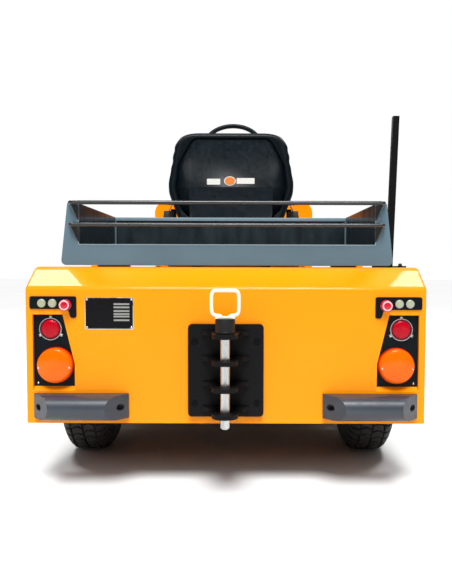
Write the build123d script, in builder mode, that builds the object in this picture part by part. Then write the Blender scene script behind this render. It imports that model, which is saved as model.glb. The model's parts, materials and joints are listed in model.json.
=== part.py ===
from build123d import *
import os
from math import cos, hypot, radians, sin

os.makedirs("parts", exist_ok=True)

# Airport baggage tug: an electric tow tractor with a load tray behind the seat.
# Millimetres. X to the right, Y forward, Z up. The origin is on the ground, at the middle of the whole outline.

# Whole vehicle: its lengths add up from the rear face to the front bumper
body_width = 1200
rear_body_length = 750
bay_gap = 10
bay_length = 498
console_reach = 12
step_length = 280
nose_length = 640
bumper_depth = 60
hitch_reach = 144
body_length = (
    rear_body_length + bay_gap + bay_length + console_reach + step_length + nose_length + bumper_depth
)
half_width = body_width / 2
rear_y = hitch_reach - (body_length + hitch_reach) / 2
rear_end_y = rear_y + rear_body_length
bay_start = rear_end_y + bay_gap
bay_end = bay_start + bay_length
console_front_y = bay_end + console_reach
nose_rear_y = console_front_y + step_length
nose_front_y = nose_rear_y + nose_length
front_y = nose_front_y + bumper_depth
sheet = 5
wheel_gap = 30
pin_gap = 0.3
seam_gap = 2

# Rear body
deck_height = 667
skirt_height = 197
fold_drop = 62
fold_height = deck_height - fold_drop
facet_run = 95
fold_radius = 18
deck_edge_radius = 60
side_edge_radius = 10
face_height = fold_height - skirt_height


def face_z(share):
    """A height on the rear face, as a share of the way from the skirt to the fold."""
    return skirt_height + share * face_height


# Wheels
rear_tyre_radius = 228.5
rear_tyre_width = 165
rear_half_track = half_width - 105
rear_axle_y = rear_end_y - 300
front_tyre_radius = 207.5
front_tyre_width = 112
front_half_track = half_width - 125
front_axle_y = nose_front_y - 350
tyre_bead_share = 0.72
tyre_shoulder_share = 0.87
tyre_crown_share = 0.6
tyre_side_drop = 50
tyre_shoulder_drop = 22
tyre_facets = 48
rim_radius = 101.6
rim_wall = 5
rim_disc_share = 0.3
rim_disc_thickness = 8
hub_radius = 42
hub_outer = 30
hub_inner = 18
hub_cap_thickness = 6
rim_windows = 5
rim_window_radius = 12
rim_window_circle = 68
spindle_radius = 20
spindle_reach = 20
hub_gap = 0.3

# Rear axle
axle_tube_radius = 45
brake_radius = 80
brake_thickness = 12
gear_housing_radius = 105
motor_radius = 92
motor_length = 255
motor_lift = 10

# Steering gear
kingpin_x = front_half_track - 80
kingpin_radius = 14
knuckle_ear_radius = 26
knuckle_ear_thickness = 20
knuckle_web = 14
beam_size = 60
beam_eye_height = 80
ear_gap = 5
steer_arm_length = 130
steer_arm_width = 28
steer_arm_thickness = 15
steer_arm_end_radius = 16
tie_rod_radius = 10
tie_eye_radius = 18
tie_eye_height = 20
tie_eye_lift = 4
stud_radius = 8
stud_spare = 12

# Wheel arches
liner_sheet = 4
rear_liner_inner_x = rear_half_track - 129
front_arch_radius = 275
front_liner_inner_x = kingpin_x - 129
axle_slot_width = 15
axle_slot_rise = 60

# Frame
rail_width = 60
rail_height = 100
rear_rail_x = rear_liner_inner_x - 66
rear_rail_bottom = 310
rear_rail_top = rear_rail_bottom + rail_height
front_rail_x = front_liner_inner_x - 46
front_rail_bottom = 255
carrier_thickness = 20
bumper_carrier_reach = 200
bumper_carrier_thickness = 10
trough_bottom = 165
trough_floor = 12
trough_wall = 12
trough_half_width = half_width - 150
spring_width = 50
spring_lengths = (180, 300, 420)

# Seat console
console_top = 8
console_post = 24
console_edge_radius = 6
post_outer_x = half_width - 30

# Battery
battery_half_width = trough_half_width - 40
battery_gap = 18
battery_bottom = trough_bottom + trough_floor
battery_height = deck_height - console_top - 32 - battery_bottom

# Battery doors
door_thickness = 18
door_sheet = 4
door_bottom = 215
door_top = deck_height - 27
door_corner = 12
door_rear_gap = 4
hinge_radius = 7
hinge_pin_radius = 4
hinge_pin_gap = 0.1
hinge_length = 60
hinge_face_gap = 0.5
hinge_pin_length = 25
hinge_leaf = 3
hinge_leaf_width = 30
hinge_levels = (0.25, 0.85)
hinge_x = half_width + 4
hinge_y = bay_start - 3
finger_inset = 60
finger_rise = 120
finger_length = 120
finger_width = 34
finger_wall = 4
finger_depth = 10

# Floor and nose
floor_height = 360
step_flange = 110
nose_bottom = 240
nose_top = deck_height - 47
nose_corner_radius = 70
nose_edge_radius = 30
step_half_width = half_width - 15
footwell_half_width = front_liner_inner_x - 4
footwell_notch = 80
toe_board_y = nose_rear_y + 330
toe_board_run = 120
toe_board_rise = 180

# Front cowl and dash
cowl_half_width = half_width - 170
cowl_rear_y = nose_rear_y + 40
cowl_front_y = nose_front_y - 40
cowl_length = cowl_front_y - cowl_rear_y
cowl_top = nose_top + 402
cowl_flat = 110
cowl_brow_share = 0.64
cowl_brow_drop = 110
cowl_edge_radius = 60
knee_half_width = cowl_half_width - 70
knee_top = cowl_top - 190
dash_half_width = 240
dash_bottom = knee_top + 10
dash_thickness = 20
dash_corner = 30
pod_half_width = 150
pod_edge_radius = 12

# Steering wheel and column
wheel_centre_y = console_front_y + 20
wheel_centre_z = cowl_top + 254
wheel_radius = 145
wheel_grip_radius = 11
wheel_hub_radius = 36
wheel_hub_height = 24
wheel_dish = 22
spoke_width = 26
spoke_thickness = 9
column_slope = 38
column_radius = 30
column_length = 340
column_gap = 40
column_bore = 80
shaft_radius = 12
shaft_reach = 50
lever_radius = 5
lever_length = 125

# Pedals, each by its middle and its width
pedal_sizes = ((-70, 90), (110, 70))
pedal_length = 120
pedal_thickness = 10
pedal_rise = 110
pedal_stem_radius = 9

# Seat
seat_back_y = rear_end_y
seat_width = 512
seat_lift = 115
cushion_bottom = deck_height + seat_lift
cushion_height = 95
cushion_length = 440
cushion_corner = 60
cushion_edge_radius = 30
back_rise = 437
back_lean = 0.12
back_shell_depth = 45
back_rim_radius = 18
back_rim_width = 24
back_groove_width = 6
back_panel_corner = 40
back_groove_depth = 14
back_panel_height = 10
back_plate_half_width = 172
back_plate_rise = 212
back_pad_depth = 60
back_pad_width_share = 0.93
back_pad_height_share = 0.965
seat_pan_thickness = 12
seat_rail_height = 20
seat_rail_x = 150
bellows_folds = 6
bellows_inset = 14
seat_arm_thickness = 18
seat_arm_rise = 130

# Tray
tray_rear_y = rear_y + 120
tray_sheet = 4
tray_inner_width = body_width - 265
tray_inner_length = rear_end_y - 50 - tray_rear_y - 2 * tray_sheet
tray_lift = 5
tray_bottom = deck_height + tray_lift
tray_height = 194
tray_top = tray_bottom + tray_height
tray_lip_height = tray_bottom + 65
tray_bend_radius = 14
flange_corner = 16
flange_half_top = tray_inner_width / 2 + 35
flange_half_bottom = tray_inner_width / 2 + 57
tray_rail_radius = 6.5
tray_rail_heights = (tray_top - 62, tray_top + 7)
tray_rail_half_span = flange_half_top - 12.5
tray_rail_stand_off = 24
gusset_depth = 60
gusset_thickness = 4
runner_width = 19
runner_x = tray_inner_width / 2 - 50.5
runner_reach = 12

# Mast
mast_size = 20
mast_wall = 2.5
mast_x = half_width - 79
mast_y = rear_y + 160
mast_height = 481
mast_lean = 15
mast_foot = (97, 60, 5)

# Rear lamps and controls
lamp_top = face_z(0.803)
lamp_bend = face_z(0.441)
lamp_bottom = face_z(0.27)
lamp_outer_x = half_width - 22
lamp_inner_top_x = half_width - 112
lamp_inner_x = half_width - 147
recess_depth = 12
lamp_plate_thickness = 3
pan_sheet = 4
amber_radius = 0.25 * (lamp_top - lamp_bottom)
amber_x = half_width - 89
amber_z = face_z(0.429)
amber_depth = 34
amber_edge_radius = 14
reflector_radius = 0.156 * (lamp_top - lamp_bottom)
reflector_ring = 4
reflector_ear_radius = 6
reflector_base = 5
reflector_dome = 4
reflector_x = half_width - 73.5
reflector_z = face_z(0.695)
panel_outer_x = half_width - 15
panel_inner_x = half_width - 154
panel_top = face_z(0.936)
panel_bottom = face_z(0.843)
panel_tail_x = half_width - 137
panel_tail_bottom = face_z(0.779)
panel_tail_slope = 8
panel_corner = 6
panel_thickness = 4
button_radius = 13.5
button_height = 7
button_x = (half_width - 52, half_width - 84)
button_z = face_z(0.886)
stop_radius = 17
stop_stem_inset = 6
stop_stem_height = 10
stop_height = 12
stop_x = half_width - 123.5
stop_z = face_z(0.874)

# Bumper pads
pad_length = 282
pad_outer_x = half_width - 27
pad_inner_x = pad_outer_x - pad_length
pad_bottom = face_z(0.046)
pad_top = face_z(0.224)
pad_depth = 75
pad_end_depth = 10
pad_slant = 58
pad_bolt_inset = 20
pad_bolt_radius = 6
pad_head_radius = 10
pad_head_seat = 8

# Ladder hitch and its pin
hitch_plate = (225, 15, 277)
hitch_plate_corner = 12
hitch_plate_bottom = skirt_height + 24
step_pitch = 75.3
step_tops = tuple(hitch_plate_bottom + 31.5 + count * step_pitch for count in range(4))
step_thickness = 12.5
step_tip = 69.5
step_wing = 8
step_nose_radius = 38
tow_pin_radius = 14
tow_pin_y = rear_y - 90
tow_pin_gap = 1
tow_pin_bottom = hitch_plate_bottom - 18
tow_pin_chamfer = 4
collar_radius = 29
collar_height = 42
handle_width = 88
handle_height = 72
handle_radius = 5.3
handle_corner = 20
handle_seat = 4
hitch_bolt_x = 93
hitch_bolt_zs = (hitch_plate_bottom + 41, hitch_plate_bottom + 225)
hitch_bolt_radius = 10
hitch_bolt_seat = 9

# Front bumper and its towing fork
bumper_half_width = half_width - 40
bumper_bottom = 250
bumper_top = 370
bumper_corner = 40
fork_half_width = 50
fork_gap = 50
fork_ear = 14
fork_corner = 24
fork_bore_radius = 16.25
fork_bore_y = front_y - 30

# Headlamps
headlamp_radius = 62
headlamp_x = half_width - 180
headlamp_z = (bumper_top + nose_top) / 2
headlamp_depth = 16

rear_face = Plane(origin=(0, rear_y, 0), x_dir=(1, 0, 0), z_dir=(0, -1, 0))
front_face = Plane(origin=(0, nose_front_y, 0), x_dir=(-1, 0, 0), z_dir=(0, 1, 0))
sides = {"left": -1, "right": 1}


def lamp_outline(side, bottom):
    """Corners of a lamp recess as (x, z), on one side of the rear face."""
    return [
        (side * lamp_outer_x, lamp_top),
        (side * lamp_inner_top_x, lamp_top),
        (side * lamp_inner_x, lamp_bend),
        (side * lamp_inner_x, bottom),
        (side * lamp_outer_x, bottom),
    ]


# Rear body: one folded sheet shell, open below and in front
with BuildPart() as rear_body:
    with BuildSketch(Plane.YZ) as rear_profile:
        with BuildLine():
            Polyline(
                (rear_y, skirt_height),
                (rear_y, fold_height),
                (rear_y + facet_run, deck_height),
                (rear_end_y, deck_height),
                (rear_end_y, skirt_height),
                close=True,
            )
        make_face()
        fillet(rear_profile.vertices().sort_by_distance((rear_y, fold_height))[0], fold_radius)
        deck_corner = rear_profile.vertices().sort_by_distance((rear_y + facet_run, deck_height))[0]
        fillet(deck_corner, deck_edge_radius)
    extrude(amount=half_width, both=True)
    outer_sides = rear_body.faces().filter_by(Axis.X)
    side_edges = outer_sides.edges().filter_by(
        lambda e: e.center().Z > skirt_height + 1 and e.center().Y < rear_end_y - 1
    )
    fillet(side_edges, side_edge_radius)
    open_faces = [
        rear_body.faces().sort_by(Axis.Z)[0],
        rear_body.faces().sort_by(Axis.Y)[-1],
    ]
    offset(amount=-sheet, openings=open_faces)
    # Wheel arches in both sides
    for side in sides.values():
        with BuildSketch(Plane.YZ.offset(side * (half_width + 1))):
            with Locations((rear_axle_y, rear_tyre_radius)):
                Circle(rear_tyre_radius + wheel_gap)
        extrude(amount=-side * (sheet + 2 + side_edge_radius), mode=Mode.SUBTRACT)
    # A pressed pan behind each lamp recess, with a sloping lower ledge
    pan_depth = recess_depth + lamp_plate_thickness + pan_sheet
    for side in sides.values():
        with BuildSketch(rear_face.offset(-sheet / 2)) as pan:
            Polygon(*lamp_outline(side, lamp_bottom - recess_depth), align=None)
            offset(amount=pan_sheet, kind=Kind.INTERSECTION)
        extrude(amount=-(pan_depth - sheet / 2))
    for side in sides.values():
        with BuildSketch(rear_face):
            Polygon(*lamp_outline(side, lamp_bottom - recess_depth), align=None)
        with BuildSketch(rear_face.offset(-recess_depth)):
            Polygon(*lamp_outline(side, lamp_bottom), align=None)
        loft(mode=Mode.SUBTRACT)
        with BuildSketch(rear_face.offset(-recess_depth)):
            Polygon(*lamp_outline(side, lamp_bottom), align=None)
        extrude(amount=-lamp_plate_thickness, mode=Mode.SUBTRACT)
    # The body's half of each door hinge
    for side in sides.values():
        for level in hinge_levels:
            hinge_z = door_bottom + level * (door_top - door_bottom)
            with BuildSketch(Plane.XY.offset(hinge_z - hinge_length / 2)):
                with Locations((side * (half_width + hinge_leaf / 2), hinge_y - hinge_leaf_width / 2)):
                    Rectangle(hinge_leaf, hinge_leaf_width)
                with Locations((side * hinge_x, hinge_y)):
                    Circle(hinge_radius)
            extrude(amount=hinge_length / 2 - hinge_face_gap)
            with BuildSketch(Plane.XY.offset(hinge_z - hinge_face_gap)):
                with Locations((side * hinge_x, hinge_y)):
                    Circle(hinge_pin_radius)
            extrude(amount=hinge_pin_length)
rear_body.part.label = "rear_body"
export_step(rear_body.part, "parts/rear_body.step")

# Wheel arch liners: half rounds of sheet closed on the inside, slotted for the rear axle
with BuildPart() as arch_liners:
    for side in sides.values():
        for axle_y, axle_z, radius, inner_x, low in (
            (rear_axle_y, rear_tyre_radius, rear_tyre_radius + wheel_gap, rear_liner_inner_x, skirt_height),
            (front_axle_y, front_tyre_radius, front_arch_radius, front_liner_inner_x, nose_bottom + 20),
        ):
            outer_x = half_width - sheet
            with BuildSketch(Plane.YZ.offset(side * inner_x)):
                with Locations((axle_y, axle_z)):
                    Circle(radius + liner_sheet)
                with Locations((axle_y, low)):
                    Rectangle(3 * radius, 2 * radius, align=(Align.CENTER, Align.MAX), mode=Mode.SUBTRACT)
            extrude(amount=side * (outer_x - inner_x))
            with BuildSketch(Plane.YZ.offset(side * (inner_x + liner_sheet))):
                with Locations((axle_y, axle_z)):
                    Circle(radius)
            extrude(amount=side * (outer_x - inner_x), mode=Mode.SUBTRACT)
        with BuildSketch(Plane.YZ.offset(side * (rear_liner_inner_x - 1))):
            with Locations((rear_axle_y, rear_tyre_radius)):
                SlotOverall(2 * (axle_tube_radius + axle_slot_rise), 2 * (axle_tube_radius + axle_slot_width), rotation=90)
        extrude(amount=side * (liner_sheet + 2), mode=Mode.SUBTRACT)
arch_liners.part.label = "arch_liners"
export_step(arch_liners.part, "parts/arch_liners.step")

# Main frame: rear rails, battery trough, front rails and their end plates
carrier_front_y = rear_y + sheet + carrier_thickness
carrier_bottom = skirt_height + 25
with BuildPart() as main_frame:
    for side in sides.values():
        with BuildSketch(Plane.XY.offset(rear_rail_bottom)):
            with Locations((side * rear_rail_x, carrier_front_y)):
                Rectangle(rail_width, bay_start - carrier_front_y, align=(Align.CENTER, Align.MIN))
        extrude(amount=rail_height)
        with BuildSketch(Plane.XY.offset(front_rail_bottom)):
            with Locations((side * front_rail_x, bay_end)):
                Rectangle(rail_width, nose_front_y - sheet - bay_end, align=(Align.CENTER, Align.MIN))
        extrude(amount=rail_height)
    # Hitch plate carrier just inside the rear sheet
    with BuildSketch(Plane.XY.offset(carrier_bottom)):
        with Locations((0, rear_y + sheet)):
            Rectangle(2 * rear_rail_x + rail_width, carrier_thickness, align=(Align.CENTER, Align.MIN))
    extrude(amount=hitch_plate[2] + hitch_plate_bottom - carrier_bottom)
    # Bumper carrier at the front
    with BuildSketch(Plane.XY.offset(bumper_bottom)):
        with Locations((0, nose_front_y - sheet)):
            Rectangle(
                2 * (front_rail_x + bumper_carrier_reach),
                bumper_carrier_thickness,
                align=(Align.CENTER, Align.MAX),
            )
    extrude(amount=bumper_top - bumper_bottom)
    # Battery trough
    with BuildSketch(Plane.XY.offset(trough_bottom)):
        with Locations((0, bay_start)):
            Rectangle(2 * trough_half_width, bay_end - bay_start, align=(Align.CENTER, Align.MIN))
    extrude(amount=trough_floor)
    for wall_y in (bay_start, bay_end - trough_wall):
        with BuildSketch(Plane.XY.offset(trough_bottom)):
            with Locations((0, wall_y)):
                Rectangle(2 * trough_half_width, trough_wall, align=(Align.CENTER, Align.MIN))
        extrude(amount=rear_rail_top - trough_bottom)
        with BuildSketch(Plane.XY.offset(door_bottom)):
            with Locations((0, wall_y)):
                Rectangle(2 * post_outer_x, trough_wall, align=(Align.CENTER, Align.MIN))
        extrude(amount=rear_rail_top - door_bottom)
main_frame.part.label = "main_frame"
export_step(main_frame.part, "parts/main_frame.step")

# Battery: one plain block in the trough
with BuildPart() as battery:
    with BuildSketch(Plane.XY.offset(battery_bottom)):
        with Locations((0, (bay_start + bay_end) / 2)):
            Rectangle(2 * battery_half_width, bay_end - bay_start - 2 * (trough_wall + battery_gap))
    extrude(amount=battery_height)
    fillet(battery.edges().filter_by(Axis.Z), 10)
battery.part.label = "battery"
export_step(battery.part, "parts/battery.step")

# Seat console: the sheet over the battery with its front wall and four posts
with BuildPart() as seat_console:
    with BuildSketch(Plane.XY.offset(deck_height - console_top)):
        with Locations((0, rear_end_y + seam_gap)):
            Rectangle(body_width, console_front_y - rear_end_y - seam_gap, align=(Align.CENTER, Align.MIN))
    extrude(amount=console_top)
    with BuildSketch(Plane.XY.offset(floor_height)):
        with Locations((0, console_front_y)):
            Rectangle(body_width, console_top, align=(Align.CENTER, Align.MAX))
    extrude(amount=deck_height - floor_height)
    front_corner = seat_console.edges().filter_by(Axis.X).sort_by_distance((0, console_front_y, deck_height))[0]
    fillet(front_corner, console_edge_radius)
    for side in sides.values():
        for post_y in (bay_start, bay_end - console_post):
            with BuildSketch(Plane.XY.offset(rear_rail_top)):
                with Locations((side * (post_outer_x - console_post / 2), post_y + console_post / 2)):
                    Rectangle(console_post, console_post)
            extrude(amount=deck_height - console_top - rear_rail_top)
seat_console.part.label = "seat_console"
export_step(seat_console.part, "parts/seat_console.step")

# Battery doors: folded pans with a finger recess, hung on lift-off hinges at their rear edge
for name, side in sides.items():
    door_y = bay_start + door_rear_gap
    door_length = bay_end - seam_gap - door_y
    finger_place = (door_y + door_length - finger_inset, (door_bottom + door_top) / 2 + finger_rise)
    with BuildPart() as battery_door:
        with BuildSketch(Plane.YZ.offset(side * (half_width - door_thickness))):
            with Locations((door_y + door_length / 2, (door_bottom + door_top) / 2)):
                RectangleRounded(door_length, door_top - door_bottom, door_corner)
        extrude(amount=side * door_thickness)
        inner_face = battery_door.faces().filter_by(Axis.X).sort_by(Axis.X)[-1 if side < 0 else 0]
        offset(amount=-door_sheet, openings=inner_face)
        with BuildSketch(Plane.YZ.offset(side * half_width)):
            with Locations(finger_place):
                SlotOverall(finger_length, finger_width, rotation=90)
        extrude(amount=-side * door_sheet, mode=Mode.SUBTRACT)
        with BuildSketch(Plane.YZ.offset(side * (half_width - door_sheet))):
            with Locations(finger_place):
                SlotOverall(finger_length + 2 * finger_wall, finger_width + 2 * finger_wall, rotation=90)
        extrude(amount=-side * finger_depth)
        with BuildSketch(Plane.YZ.offset(side * (half_width - door_sheet))):
            with Locations(finger_place):
                SlotOverall(finger_length, finger_width, rotation=90)
        extrude(amount=-side * (finger_depth - 3), mode=Mode.SUBTRACT)
        for level in hinge_levels:
            hinge_z = door_bottom + level * (door_top - door_bottom)
            with BuildSketch(Plane.XY.offset(hinge_z)):
                with Locations((side * (half_width + hinge_leaf / 2), hinge_y + hinge_leaf_width / 2)):
                    Rectangle(hinge_leaf, hinge_leaf_width)
                with Locations((side * hinge_x, hinge_y)):
                    Circle(hinge_radius)
                    Circle(hinge_pin_radius + hinge_pin_gap, mode=Mode.SUBTRACT)
            extrude(amount=hinge_length / 2)
    battery_door.part.label = f"battery_door_{name}"
    export_step(battery_door.part, f"parts/battery_door_{name}.step")

# Floor plate: the step-through floor, its side flanges, the footwell floor and the toe board
floor_rear_y = console_front_y + seam_gap
with BuildPart() as floor_plate:
    with BuildSketch(Plane.XY.offset(floor_height - sheet)):
        with Locations((0, floor_rear_y)):
            Rectangle(2 * step_half_width, nose_rear_y - seam_gap - floor_rear_y, align=(Align.CENTER, Align.MIN))
            Rectangle(2 * footwell_half_width, toe_board_y - floor_rear_y, align=(Align.CENTER, Align.MIN))
    extrude(amount=sheet)
    for side in sides.values():
        with BuildSketch(Plane.YZ.offset(side * step_half_width)):
            with Locations((floor_rear_y, floor_height)):
                Rectangle(nose_rear_y - seam_gap - floor_rear_y, step_flange, align=(Align.MIN, Align.MAX))
        extrude(amount=-side * sheet)
    with BuildSketch(Plane.YZ):
        with BuildLine():
            Polyline(
                (toe_board_y, floor_height - sheet),
                (toe_board_y + toe_board_run, floor_height + toe_board_rise),
                (toe_board_y + toe_board_run - sheet, floor_height + toe_board_rise),
                (toe_board_y - sheet, floor_height),
                close=True,
            )
        make_face()
    extrude(amount=footwell_half_width, both=True)
floor_plate.part.label = "floor_plate"
export_step(floor_plate.part, "parts/floor_plate.step")

# Nose: the front body shell with its fenders, open below and at the footwell
with BuildPart() as nose:
    with BuildSketch(Plane.XY.offset(nose_bottom)) as nose_plan:
        with Locations((0, nose_rear_y)):
            Rectangle(body_width, nose_front_y - nose_rear_y, align=(Align.CENTER, Align.MIN))
        fillet(nose_plan.vertices().group_by(Axis.Y)[-1], nose_corner_radius)
    extrude(amount=nose_top - nose_bottom)
    fillet(nose.faces().sort_by(Axis.Z)[-1].edges(), nose_edge_radius)
    offset(amount=-sheet, openings=nose.faces().sort_by(Axis.Z)[0])
    for side in sides.values():
        with BuildSketch(Plane.YZ.offset(side * (half_width + 1))):
            with Locations((front_axle_y, front_tyre_radius)):
                Circle(front_arch_radius)
        extrude(amount=-side * (sheet + 2), mode=Mode.SUBTRACT)
    # Footwell: the way in from behind and the space under the cowl
    with BuildSketch(Plane.XY.offset(nose_bottom - 1)):
        with Locations((0, nose_rear_y - 1)):
            Rectangle(2 * footwell_half_width, footwell_notch, align=(Align.CENTER, Align.MIN))
    extrude(amount=nose_top, mode=Mode.SUBTRACT)
    with BuildSketch(Plane.XY.offset(nose_top - sheet - 1)):
        with Locations((0, cowl_rear_y + sheet)):
            Rectangle(
                2 * knee_half_width,
                cowl_length - 2 * cowl_edge_radius,
                align=(Align.CENTER, Align.MIN),
            )
    extrude(amount=2 * sheet, mode=Mode.SUBTRACT)
nose.part.label = "nose"
export_step(nose.part, "parts/nose.step")

# Front cowl: a curved hood closed behind, open below and at the knees
with BuildPart() as front_cowl:
    brow_z = cowl_top - cowl_brow_drop
    with BuildSketch(Plane.YZ) as cowl_profile:
        with BuildLine():
            Line((cowl_rear_y, nose_top), (cowl_rear_y, cowl_top))
            Line((cowl_rear_y, cowl_top), (cowl_rear_y + cowl_flat, cowl_top))
            Spline(
                (cowl_rear_y + cowl_flat, cowl_top),
                (cowl_rear_y + cowl_brow_share * cowl_length, brow_z),
                (cowl_front_y, nose_top),
                tangents=[(1, 0), (0.12, -1)],
            )
            Line((cowl_front_y, nose_top), (cowl_rear_y, nose_top))
        make_face()
    extrude(amount=cowl_half_width, both=True)
    hood_edges = front_cowl.faces().filter_by(Axis.X).edges().filter_by(
        lambda e: e.center().Z > nose_top + 1 and e.center().Y > cowl_rear_y + 1
    )
    fillet(hood_edges, cowl_edge_radius)
    offset(amount=-sheet, openings=front_cowl.faces().sort_by(Axis.Z)[0])
    with BuildSketch(Plane.XZ.offset(-cowl_rear_y + 1)) as knee_opening:
        with Locations((0, nose_top - 1)):
            Rectangle(2 * knee_half_width, knee_top - nose_top + 1, align=(Align.CENTER, Align.MIN))
        fillet(knee_opening.vertices().group_by(Axis.Y)[-1], dash_corner)
    extrude(amount=-(sheet + 2), mode=Mode.SUBTRACT)
front_cowl.part.label = "front_cowl"
export_step(front_cowl.part, "parts/front_cowl.step")

# Dash panel: stands on the cowl's rear wall and carries the instrument pod
with BuildPart() as dash_panel:
    with BuildSketch(Plane.XZ.offset(-cowl_rear_y)) as dash_face:
        with Locations((0, dash_bottom)):
            Rectangle(2 * dash_half_width, cowl_top - dash_bottom, align=(Align.CENTER, Align.MIN))
        fillet(dash_face.vertices(), dash_corner)
    extrude(amount=dash_thickness)
    with BuildSketch(Plane.YZ):
        with BuildLine():
            Polyline(
                (cowl_rear_y, cowl_top - 60),
                (cowl_rear_y - 55, cowl_top - 10),
                (cowl_rear_y - 45, cowl_top + 45),
                (cowl_rear_y + 15, cowl_top + 105),
                (cowl_rear_y + 45, cowl_top + 105),
                (cowl_rear_y + 95, cowl_top),
                (cowl_rear_y, cowl_top),
                close=True,
            )
        make_face()
    extrude(amount=pod_half_width, both=True)
    pod_edges = dash_panel.edges().filter_by(
        lambda e: abs(abs(e.center().X) - pod_half_width) < 1 and e.center().Z > cowl_top + 10
    )
    fillet(pod_edges, pod_edge_radius)
dash_panel.part.label = "dash_panel"
export_step(dash_panel.part, "parts/dash_panel.step")

# Steering column, seated on the pod, bored for the wheel's shaft
column_dir = (0, -cos(radians(column_slope)), sin(radians(column_slope)))
wheel_plane = Plane(origin=(0, wheel_centre_y, wheel_centre_z), x_dir=(1, 0, 0), z_dir=column_dir)
lever_root = wheel_plane.offset(-column_gap - column_radius).origin
with BuildPart() as steering_column:
    with BuildSketch(wheel_plane.offset(-column_gap)):
        Circle(column_radius)
    extrude(amount=-column_length)
    # A control lever on each side of the column
    for side in sides.values():
        with BuildSketch(Plane(origin=lever_root, x_dir=column_dir, z_dir=(side, 0, 0))):
            Circle(lever_radius)
        extrude(amount=lever_length)
    with BuildSketch(wheel_plane.offset(-column_gap)):
        Circle(shaft_radius + pin_gap)
    extrude(amount=-column_bore, mode=Mode.SUBTRACT)
    add(dash_panel.part, mode=Mode.SUBTRACT)
    split(bisect_by=Plane.XZ.offset(-cowl_rear_y - dash_thickness), keep=Keep.TOP)
steering_column.part.label = "steering_column"
export_step(steering_column.part, "parts/steering_column.step")

# Steering wheel: rim, three spokes, dished hub and shaft
with BuildPart() as steering_wheel:
    rim_centre = wheel_radius - wheel_grip_radius
    with BuildSketch(Plane(origin=wheel_plane.origin, x_dir=(1, 0, 0), z_dir=wheel_plane.y_dir * -1)):
        with Locations((rim_centre, 0)):
            Circle(wheel_grip_radius)
    revolve(axis=Axis(wheel_plane.origin, wheel_plane.z_dir))
    with BuildSketch(wheel_plane.offset(-wheel_dish)):
        Circle(wheel_hub_radius)
    extrude(amount=wheel_hub_height, taper=8)
    with BuildSketch(wheel_plane.offset(spoke_thickness - wheel_dish)):
        for angle in (30, 150, 270):
            with Locations(Location((0, 0), angle)):
                with Locations((rim_centre / 2, 0)):
                    Rectangle(rim_centre, spoke_width)
    extrude(amount=spoke_thickness)
    with BuildSketch(wheel_plane.offset(-wheel_dish)):
        Circle(shaft_radius)
    extrude(amount=-(column_gap + shaft_reach))
steering_wheel.part.label = "steering_wheel"
export_step(steering_wheel.part, "parts/steering_wheel.step")

# Pedals: a brake and a drive pedal on arms from the toe board
with BuildPart() as pedals:
    for pedal_x, pedal_width in pedal_sizes:
        pedal_middle = (pedal_x, toe_board_y - 10, floor_height + pedal_rise)
        pedal_plane = Plane(origin=pedal_middle, x_dir=(1, 0, 0), z_dir=(0, -0.8, 0.6))
        with BuildSketch(pedal_plane):
            RectangleRounded(pedal_width, pedal_length, 10)
        extrude(amount=pedal_thickness)
        with BuildSketch(pedal_plane):
            Circle(pedal_stem_radius)
        extrude(amount=-60)
    add(floor_plate.part, mode=Mode.SUBTRACT)
pedals.part.label = "pedals"
export_step(pedals.part, "parts/pedals.step")

# Seat base: slide rails, bellows, pan and belt fittings
seat_centre_y = seat_back_y + 60 + cushion_length / 2
pan_bottom = cushion_bottom - seat_pan_thickness
with BuildPart() as seat_base:
    with BuildSketch(Plane.XY.offset(deck_height)):
        with Locations((-seat_rail_x, seat_centre_y), (seat_rail_x, seat_centre_y)):
            Rectangle(40, cushion_length - 40)
    extrude(amount=seat_rail_height)
    bellows_step = (pan_bottom - deck_height - seat_rail_height) / bellows_folds
    for fold in range(bellows_folds):
        inset = bellows_inset * (fold % 2)
        with BuildSketch(Plane.XY.offset(deck_height + seat_rail_height + fold * bellows_step)):
            with Locations((0, seat_centre_y)):
                RectangleRounded(380 - 2 * inset, 340 - 2 * inset, 30)
        extrude(amount=bellows_step)
    with BuildSketch(Plane.XY.offset(pan_bottom)):
        with Locations((0, seat_centre_y)):
            RectangleRounded(seat_width - 30, cushion_length, 50)
    extrude(amount=seat_pan_thickness)
    for side in sides.values():
        with BuildSketch(Plane.YZ.offset(side * (seat_width / 2 - seat_arm_thickness))):
            with BuildLine():
                Polyline(
                    (seat_back_y + 70, pan_bottom),
                    (seat_back_y + 70, cushion_bottom + seat_arm_rise),
                    (seat_back_y + 120, cushion_bottom + seat_arm_rise),
                    (seat_back_y + 150, pan_bottom),
                    close=True,
                )
            make_face()
        extrude(amount=side * seat_arm_thickness)
seat_base.part.label = "seat_base"
export_step(seat_base.part, "parts/seat_base.step")

# Seat cushion
with BuildPart() as seat_cushion:
    with BuildSketch(Plane.XY.offset(cushion_bottom)):
        with Locations((0, seat_centre_y + 20)):
            RectangleRounded(seat_width - 2 * seat_arm_thickness - 6, cushion_length - 20, cushion_corner)
    extrude(amount=cushion_height)
    fillet(seat_cushion.faces().sort_by(Axis.Z)[-1].edges(), cushion_edge_radius)
seat_cushion.part.label = "seat_cushion"
export_step(seat_cushion.part, "parts/seat_cushion.step")

# Seat back: a leaning moulded shell with a raised rim, and the soft pad in front of it
back_plane = Plane(origin=(0, seat_back_y + 40, cushion_bottom), x_dir=(1, 0, 0), z_dir=(0, -1, back_lean))

# The seat back's outline, seen from behind, up its own slope
with BuildSketch() as back_outline:
    with BuildLine():
        Spline(
            (-150, 30),
            (-232, 115),
            (-seat_width / 2, 205),
            (-245, 310),
            (-150, back_rise),
            tangents=[(-1, 0), (1, 0)],
        )
        Line((-150, back_rise), (0, back_rise))
        Line((-150, 30), (0, 30))
        mirror(about=Plane.YZ)
    make_face()

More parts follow.
